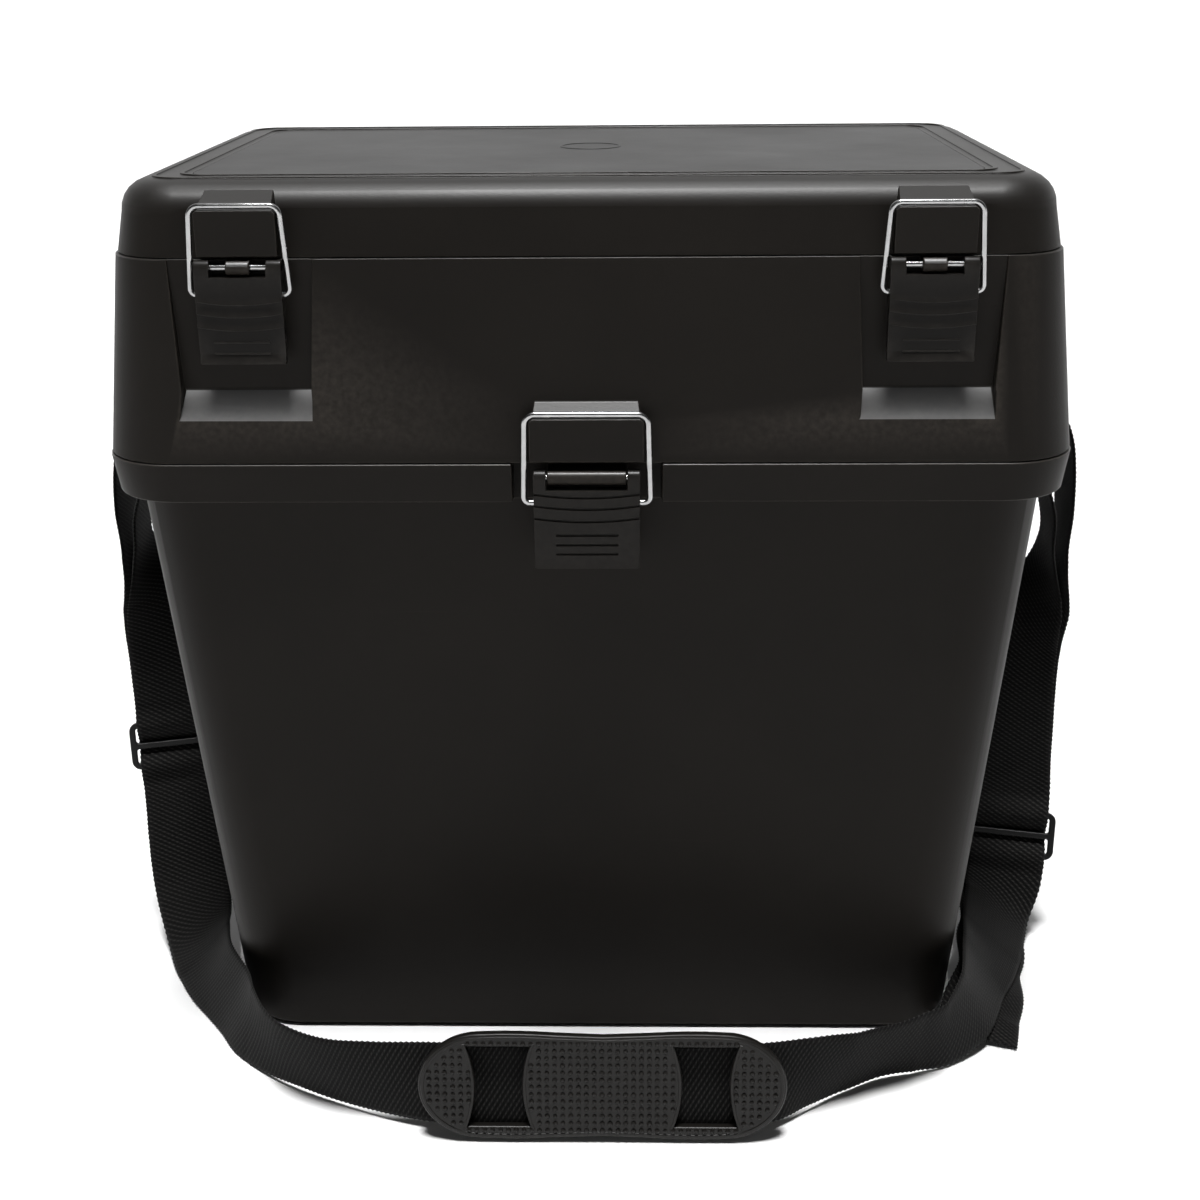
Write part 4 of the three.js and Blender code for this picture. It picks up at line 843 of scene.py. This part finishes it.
def raised_bumps_tree(finish):
    tree, given = new_tree("raised bumps", BUMP_SIZES)
    dome = node(tree, "GeometryNodeMeshUVSphere", {"Segments": 8, "Rings": 5, "Radius": 1.0})
    radius, height = given["Bump Radius"], given["Bump Height"]
    size = node(tree, "ShaderNodeCombineXYZ", {"X": radius, "Y": height, "Z": radius})
    uneven = node(tree, "FunctionNodeRandomValue", {"Min": 0.88, "Max": 1.1, "Seed": given["Seed"]}, data_type="FLOAT")
    scale = node(tree, "ShaderNodeVectorMath", {0: size, 1: uneven}, operation="MULTIPLY")
    set_out = {"Points": given["Geometry"], "Instance": dome, "Scale": scale}
    return close_tree(tree, node(tree, "GeometryNodeInstanceOnPoints", set_out), finish)


def inside_pad(x, y):
    """True where a bump fits: inside the border, and clear of the windows and their plain lips."""
    if abs(x) >= PAD_HALF_LENGTH - BUMP_BORDER or abs(y) > pad_rise(x, BUMP_BORDER):
        return False
    bow = WINDOW_BOW * (1 - min(abs(y) / WINDOW_HALF_Y, 1.0) ** 2)
    beside = abs(abs(x) - WINDOW_AT) > WINDOW_HALF_X - bow + BUMP_FROM_WINDOW_X
    return beside or abs(y) > WINDOW_HALF_Y + BUMP_FROM_WINDOW_Y


pad_front = -WEBBING_ROOM - PAD_THICK
columns, rows = round(PAD_HALF_LENGTH / BUMP_PITCH), round(PAD_HALF_HEIGHT / BUMP_PITCH)
grid = [(i * BUMP_PITCH, j * BUMP_PITCH) for i in range(-columns, columns + 1) for j in range(-rows, rows + 1)]
bump_points = [PAD_AT + Vector((x, pad_front + BUMP_SINKS, y)) for x, y in grid if inside_pad(x, y)]
bumps = grow(mesh_object("bump_points", bump_points, []), raised_bumps_tree(rubber), "shoulder_pad_bumps", BUMP_SIZES)
print("bumps:", len(bump_points))

# %% [markdown]
# The plate, its border, lips and bumps and the two sleeves are one moulding, so they are joined into one piece. It
# was built upright, and now leans back a little, as it does on the ground.


# %% Join the pad
def joined(name, parts):
    """One mesh object from several, whose places are in their points."""
    shape = bmesh.new()
    for part in parts:
        shape.from_mesh(part.data)
        bpy.data.objects.remove(part)
    return object_from(shape, name)


TRIM_RISE, TRIM_EDGE = 0.0003, 0.0004
BORDER_FROM, BORDER_TO = 0.0012, 0.0026
LIP_FROM, LIP_TO, LIP_BEYOND = 0.0003, 0.0017, 0.0014
trims = [[pad_loop(BORDER_FROM), pad_loop(BORDER_TO)]]
for side in (-1, 1):
    for end in (-1, 1):
        near, far = (window_side(side, end, 12, out, LIP_BEYOND) for out in (LIP_FROM, LIP_TO))
        trims.append([near + far[::-1]])
raised = [stand_on_pad(flat_plate("pad_trim", loops, TRIM_RISE * 3, TRIM_EDGE), pad_front + TRIM_RISE / 2)
          for loops in trims]

SLEEVE_AT, SLEEVE_DROP, SLEEVE_LENGTH, SLEEVE_WALL = 0.017, 0.0022, 0.016, 0.0018
SLEEVE_CORNER, SLEEVE_HOLE_CORNER, SLEEVE_EDGE = 0.0016, 0.0006, 0.0005
half_z = WEB_WIDTH / 2 + WEBBING_CLEAR
loops = [rounded_loop(half_z + SLEEVE_WALL, WEBBING_ROOM + SLEEVE_WALL, SLEEVE_CORNER),
         rounded_loop(half_z, WEBBING_ROOM, SLEEVE_HOLE_CORNER)]
sleeves = [flat_plate("pad_sleeve", loops, SLEEVE_LENGTH, SLEEVE_EDGE) for side in (-1, 1)]
for side, sleeve in zip((-1, 1), sleeves):
    sleeve_place = Matrix.Translation(PAD_AT + Vector((side * SLEEVE_AT, 0, -SLEEVE_DROP)))
    sleeve.data.transform(sleeve_place @ Matrix.Rotation(pi / 2, 4, "Y"))
pad = joined("shoulder_pad_rubber", [plate, *raised, *sleeves, bumps])
pad.data.transform(Matrix.Translation(PAD_AT) @ Matrix.Rotation(-PAD_LEAN, 4, "X") @ Matrix.Translation(-PAD_AT))
settle(even_normals(pad), "tub", "pad", rubber, ["shoulder_pad"])

# %% [markdown]
# ## What the strap is, as a cord
#
# The strap is free to move on the real box, so its length, its width and its two ends are declared. The main run is
# 1.09 m from bar to bar. The left end is doubled back under its slider, and the right one hangs on as a long tail
# whose cut end lies on the ground.

PATH_STEPS = 150
far_ends, carried_pieces = ("object", "bare", "bare"), ([*sliders, pad], [], [])
for strap, route, held_at, far_end, carried in zip(straps, routes, held_at_all, far_ends, carried_pieces):
    path = [tuple(held_place(route, held_at, route.length * i / PATH_STEPS)[0]) for i in range(PATH_STEPS + 1)]
    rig.cord(strap, exit=path[0], length=round(route.length, 4), diameter=WEB_WIDTH, far_end=far_end, stiffness="limp",
            lay="loose", path=path, with_pieces=carried)
    print(strap.name, "is", round(route.length, 3), "m long")

# %% [markdown]
# ## Frayed threads
#
# The tail was cut square and its warp threads stand out of the cut by a few millimetres. Each is a thin cone on a
# point of the cut edge, leaning and scaled at random with a fixed seed, which is enough for something hair-fine.


# %% Fray the tail's end
THREAD_SIZES = {"Thread Length": 0.0026, "Thread Radius": 0.00018, "Seed": 5}


def frayed_threads_tree(finish):
    tree, given = new_tree("frayed threads", THREAD_SIZES)
    seed, radius = given["Seed"], given["Thread Radius"]
    thread = node(tree, "GeometryNodeMeshCone", {"Vertices": 5, "Radius Top": 0.3, "Radius Bottom": 1.0, "Depth": 1.0})
    share = node(tree, "FunctionNodeRandomValue", {"Min": 0.35, "Max": 1.0, "Seed": seed}, data_type="FLOAT")
    length = maths(tree, "MULTIPLY", share, given["Thread Length"])
    size = node(tree, "ShaderNodeCombineXYZ", {"X": radius, "Y": radius, "Z": length})
    lean = node(tree, "FunctionNodeRandomValue", {"Min": (-0.5, -0.5, -0.5), "Max": (0.5, 0.5, 0.5), "Seed": seed},
                data_type="FLOAT_VECTOR")
    outwards = node(tree, "GeometryNodeInputNamedAttribute", {"Name": "outwards"}, data_type="FLOAT_VECTOR")
    aim = node(tree, "ShaderNodeVectorMath", {0: outwards, 1: lean}, operation="ADD")
    turn = node(tree, "FunctionNodeAlignRotationToVector", {"Vector": aim}, axis="Z")
    set_out = {"Points": given["Geometry"], "Instance": thread, "Rotation": turn, "Scale": size}
    return close_tree(tree, node(tree, "GeometryNodeInstanceOnPoints", set_out), finish)


THREADS_ACROSS, THREADS_SPAN, THREADS_DEPTH, THREADS_SINK = 60, 0.97, 0.3, 0.0004
tail_at, tail_along, tail_out, tail_back = tail_route.frame(tail_route.length)
cut = []
for i in range(THREADS_ACROSS):
    across = WEB_WIDTH * (i / (THREADS_ACROSS - 1) - 0.5) * THREADS_SPAN
    deep = WEB_THICK * THREADS_DEPTH * (i % 3 - 1)
    cut.append(tail_at + tail_out * across + tail_back * deep - tail_along * THREADS_SINK)
cut_edge = mesh_object("cut_edge", cut, [])
outwards = cut_edge.data.attributes.new("outwards", "FLOAT_VECTOR", "POINT")
for item in outwards.data:
    item.vector = tail_along
threads = grow(cut_edge, frayed_threads_tree(webbing_cloth), "strap_tail_threads", THREAD_SIZES)
settle(threads, "tub", "webbing", webbing_cloth)

# %% [markdown]
# ## Wire bails
#
# Each latch has a wire bail, 2.2 mm thick at the sides and 2.5 mm in the centre: a bar that hooks over the catch, two
# legs that flare a little, and two feet that turn into the lever. It is one bent line, so a tree that the three
# bails share rounds each corner by a radius kept on its point, and runs a round profile along the line.


# %% Bend the bails
WIRE_SIZES = {"Wire Radius": 0.0011, "Sides": 16, "Steps": 8}


def bent_wire_tree(finish):
    tree, given = new_tree("bent wire", WIRE_SIZES)
    line = node(tree, "GeometryNodeMeshToCurve", {"Mesh": given["Geometry"]})
    bend = node(tree, "GeometryNodeInputNamedAttribute", {"Name": "bend"}, data_type="FLOAT")
    bends = {"Curve": line, "Radius": bend, "Count": given["Steps"], "Limit Radius": True}
    fillet = node(tree, "GeometryNodeFilletCurve", bends, mode="POLY")
    sizes = {"Resolution": given["Sides"], "Radius": given["Wire Radius"]}
    profile = node(tree, "GeometryNodeCurvePrimitiveCircle", sizes)
    wire = node(tree, "GeometryNodeCurveToMesh", {"Curve": fillet, "Profile Curve": profile, "Fill Caps": True})
    return close_tree(tree, wire, finish)


TOP_BEND, FOOT_BEND = 0.0042, 0.0024
SIDE_X, SIDE_Y, SIDE_Z = 0.1335, -0.1277, 0.3574
CENTRE_PIN = Vector((0.0, -0.1352, 0.2753))
PIVOT_DROP = Vector((0, 0, 0.0104))
bent_wire = bent_wire_tree(steel)


def wire_bail(name, body, pin, inner, foot, top, height, radius):
    """A bail from its corners: half widths at the inner ends, the feet and the bar, and the bar's height."""
    corners = [(-inner, 0, 0), (-foot, 0, 0), (-top, 0, height), (top, 0, height), (foot, 0, 0), (inner, 0, 0)]
    points = [pin - PIVOT_DROP + Vector(corner) for corner in corners]
    line = mesh_object(name + "_line", points, [], [(i, i + 1) for i in range(5)])
    bends = line.data.attributes.new("bend", "FLOAT", "POINT")
    bends.data.foreach_set("value", [0.0, FOOT_BEND, TOP_BEND, TOP_BEND, FOOT_BEND, 0.0])
    wire = grow(line, bent_wire, name, {**WIRE_SIZES, "Wire Radius": radius})
    wire.data.set_sharp_from_angle(angle=radians(50))
    return settle(wire, body, "steel", steel, [body])


for side_name, side in (("left", -1), ("right", 1)):
    wire_bail(f"wire_bail_{side_name}", f"side_{side_name}_bail", Vector((side * SIDE_X, SIDE_Y, SIDE_Z)),
              inner=0.0117, foot=0.0194, top=0.0173, height=0.0338, radius=0.0011)
wire_bail("wire_bail_centre", "centre_bail", CENTRE_PIN,
          inner=0.016, foot=0.0252, top=0.0243, height=0.0359, radius=0.00125)

# %% [markdown]
# ## Rounded edges and wear
#
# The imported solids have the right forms, but a moulded edge has a small radius that catches the light. Modelling the
# shells again could move something, so each piece starts as a merged copy of its solid. A bevel rounds its sharp
# edges, even normals keep the broad faces flat, and every point gets its wear, high on sharp outer edges.


# %% Dress a solid
MERGE_WITHIN = 2e-6
FLAT_UNDER, SHARP_OVER, WORN_FROM, WORN_TO = (radians(angle) for angle in (0.4, 32.0, 16.0, 34.0))
ROOM_FOR_RADIUS = 2.4


def wear_from_edges(mesh):
    """Marks the points where the faces round them turn away from each other, which are the outer edges."""
    shape = bmesh.new()
    shape.from_mesh(mesh)
    attribute = mesh.attributes.new("wear", "FLOAT", "POINT")
    for vertex in shape.verts:
        turn = 0.0
        for edge in vertex.link_edges:
            if len(edge.link_faces) == 2 and edge.calc_face_angle_signed(0.0) > 0:
                turn = max(turn, edge.calc_face_angle(0.0))
        attribute.data[vertex.index].value = min(max((turn - WORN_FROM) / (WORN_TO - WORN_FROM), 0.0), 1.0)
    shape.free()


def dress(cad_node, body, slot, finish, radius, name=None, segments=3):
    """A merged copy of a solid with its sharp edges rounded, less where its edges are short, as a finished piece."""
    name = name or cad_node + "_moulding"
    shape = bmesh.new()
    shape.from_mesh(frame["nodes"][cad_node].data)
    bmesh.ops.remove_doubles(shape, verts=shape.verts, dist=MERGE_WITHIN)
    flat = [edge for edge in shape.edges if edge.calc_face_angle(0.0) < FLAT_UNDER]
    bmesh.ops.beautify_fill(shape, faces=shape.faces, edges=flat, method="AREA")
    weight = shape.edges.layers.float.new("bevel_weight_edge")
    for edge in [edge for edge in shape.edges if edge.calc_face_angle(0.0) > SHARP_OVER]:
        room = min(other.calc_length() for corner in edge.verts for other in corner.link_edges)
        edge[weight] = min(1.0, room / (ROOM_FOR_RADIUS * radius))
    copy = object_from(shape, name + "_copy")
    bevel = copy.modifiers.new("rounded edges", "BEVEL")
    bevel.width, bevel.segments, bevel.limit_method = radius, segments, "WEIGHT"
    bevel.use_clamp_overlap = bevel.loop_slide = False
    bevel.miter_outer = "MITER_ARC"
    made = plain_mesh(copy, name)
    wear_from_edges(made.data)
    return settle(even_normals(made), body, slot, finish, [cad_node])


print("the dressing helpers are ready")

# %% [markdown]
# ## The shells
#
# The tub carries the strap's ears and the lower hinge knuckles. The upper section is the shallow compartment, with a
# recess for each side latch, and the lid has two fine ridges round its panel. The recesses' sloping ledges are found
# by the way that they face, and get the polished plastic.

# %% Dress the shells
LEDGE_FACING, LEDGE_TOLERANCE, LEDGE_BEFORE_Y = Vector((0, -0.842, 0.539)), 0.05, -0.11
dress("tub", "tub", "shell", shell_plastic, 0.0007)
upper_section = dress("upper_section", "upper", "shell", shell_plastic, 0.0006)
upper_section.data.materials.append(ledge_plastic)
for face in upper_section.data.polygons:
    if (face.normal - LEDGE_FACING).length < LEDGE_TOLERANCE and face.center.y < LEDGE_BEFORE_Y:
        face.material_index = 1
dress("lid", "lid", "shell", shell_plastic, 0.0004)

# %% [markdown]
# ## Levers, pins and bars
#
# The levers are smooth small mouldings, so their edges get a smaller radius. The pins and bars are cut from rod,
# with a slight rounding at each end.

# %% Dress the levers, the pins and the bars
for latch, carrier in (("side_left", "upper"), ("side_right", "upper"), ("centre", "tub")):
    dress(f"{latch}_lever", f"{latch}_lever", "latch", latch_plastic, 0.0004, segments=2)
    dress(f"{latch}_lever_pin", carrier, "steel", steel, 0.00025, f"{latch}_steel_pin", segments=2)
for side_name in ("left", "right"):
    for pin, carrier, rod, radius in (("lid_hinge_pin", "upper", "lid_hinge_rod", 0.0004),
                                      ("upper_hinge_pin", "tub", "upper_hinge_rod", 0.0004),
                                      ("strap_bar", "tub", "strap_rod", 0.0005)):
        dress(f"{pin}_{side_name}", carrier, "steel", steel, radius, f"{rod}_{side_name}", segments=2)

# %% [markdown]
# ## The seat panel
#
# A thin panel with a coarser grain lies in the lid's frame, and its middle carries a plain raised ring. Both are
# flat plates with rounded edges.


# %% Mould the seat panel
def circle(radius, steps=72):
    turns = [2 * pi * i / steps for i in range(steps)]
    return [(radius * cos(turn), radius * sin(turn)) for turn in turns]


PANEL_CORNER, PANEL_EDGE = 0.009, 0.0004
RING_X, RING_Y, RING_RADIUS, RING_WIDTH, RING_RISE, RING_EDGE = -0.0009, 0.009, 0.0138, 0.0011, 0.0003, 0.00025
panel_low, panel_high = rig.box("seat_panel")
half = (panel_high - panel_low) / 2
panel = flat_plate("seat_panel_plate", [rounded_loop(half.x, half.y, PANEL_CORNER, 10)], half.z * 2, PANEL_EDGE)
panel.data.transform(Matrix.Translation((panel_low + panel_high) / 2))
ring = flat_plate("panel_ring", [circle(RING_RADIUS), circle(RING_RADIUS - RING_WIDTH)], RING_RISE * 2, RING_EDGE)
ring.data.transform(Matrix.Translation((RING_X, RING_Y, panel_high.z)))
panel = joined("seat_panel_grained", [panel, ring])
wear_from_edges(panel.data)
settle(even_normals(panel), "lid", "seat_panel", seat_plastic, ["seat_panel"])

# %% [markdown]
# ## Floor and light
#
# The box stands on a pale plain floor under a soft light that is nearly overhead. Black plastic shows mostly what it
# mirrors, so the room is nearly dark in front, which keeps the walls black, and bright behind, which turns the lid
# grey at its low angle. A low white band round the horizon hides the floor's end. The world makes all of it, so the
# floor is lit evenly.

# %% Lay the floor
FLOOR_HALF = 30.0
corners = [(FLOOR_HALF * x, FLOOR_HALF * y, 0) for x, y in ((-1, -1), (1, -1), (1, 1), (-1, 1))]
floor = mesh_object("floor", corners, [(0, 1, 2, 3)])
paint, tree, shader, place = new_material("pale studio floor", Roughness=0.9, Specular_IOR_Level=0.1)
tree.links.new(blend_colours(tree, noise(tree, place, 3.0), grey(0.9), grey(0.93)), shader.inputs["Base Color"])
floor.data.materials.append(paint)
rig.stage(floor)
print("the floor is", 2 * FLOOR_HALF, "m wide")

# %% [markdown]
# The light's strength follows from the direction alone: how far it points to the back of the room, its height over
# the horizon, and how near it comes to the middle of the overhead patch.

# %% Set the light
LIGHT_TILT, LIGHT_HALF_WIDTH, LIGHT_POWER = radians(7), radians(6), 110.0
world = bpy.data.worlds.new("studio room")
scene.world = world
world.use_nodes = True
room, background = world.node_tree, world.node_tree.nodes["Background"]
sky = node(room, "ShaderNodeTexCoord", output="Generated")
to_back, to_top = (node(room, "ShaderNodeSeparateXYZ", {"Vector": sky}, axis) for axis in "YZ")
light_middle = (0, -sin(LIGHT_TILT), cos(LIGHT_TILT))
aim = node(room, "ShaderNodeVectorMath", {0: sky, 1: light_middle}, operation="DOT_PRODUCT")
rim, core = (cos(LIGHT_HALF_WIDTH * share) for share in (1.25, 0.75))
soft = {"interpolation_type": "SMOOTHSTEP"}
around = spread(room, to_back, 0.03, 0.95, 0.0, 1.2, **soft)
horizon = spread(room, to_top, 1.0, 0.0, 0.1, 0.16, **soft)
overhead = spread(room, aim, 0.0, LIGHT_POWER, rim, core, **soft)
strength = maths(room, "ADD", maths(room, "MAXIMUM", around, horizon), overhead)
room.links.new(strength, background.inputs["Strength"])
background.inputs["Color"].default_value = (1, 1, 1, 1)
scene.view_settings.view_transform = "Standard"
print("the light is set")

# %% [markdown]
# ## The size, and the end
#
# The imported model's box and the finished one's are written down, and how far the finished one has grown is printed.

# %% Write the sizes and finish
low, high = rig.bounds()
with open("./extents.json", "w") as file:
    json.dump({"cad": [list(cad_low), list(cad_high)], "visual": [list(low), list(high)]}, file)
print("grown by, in mm:", [round(1000 * v, 2) for v in (*(cad_low - low), *(high - cad_high))])
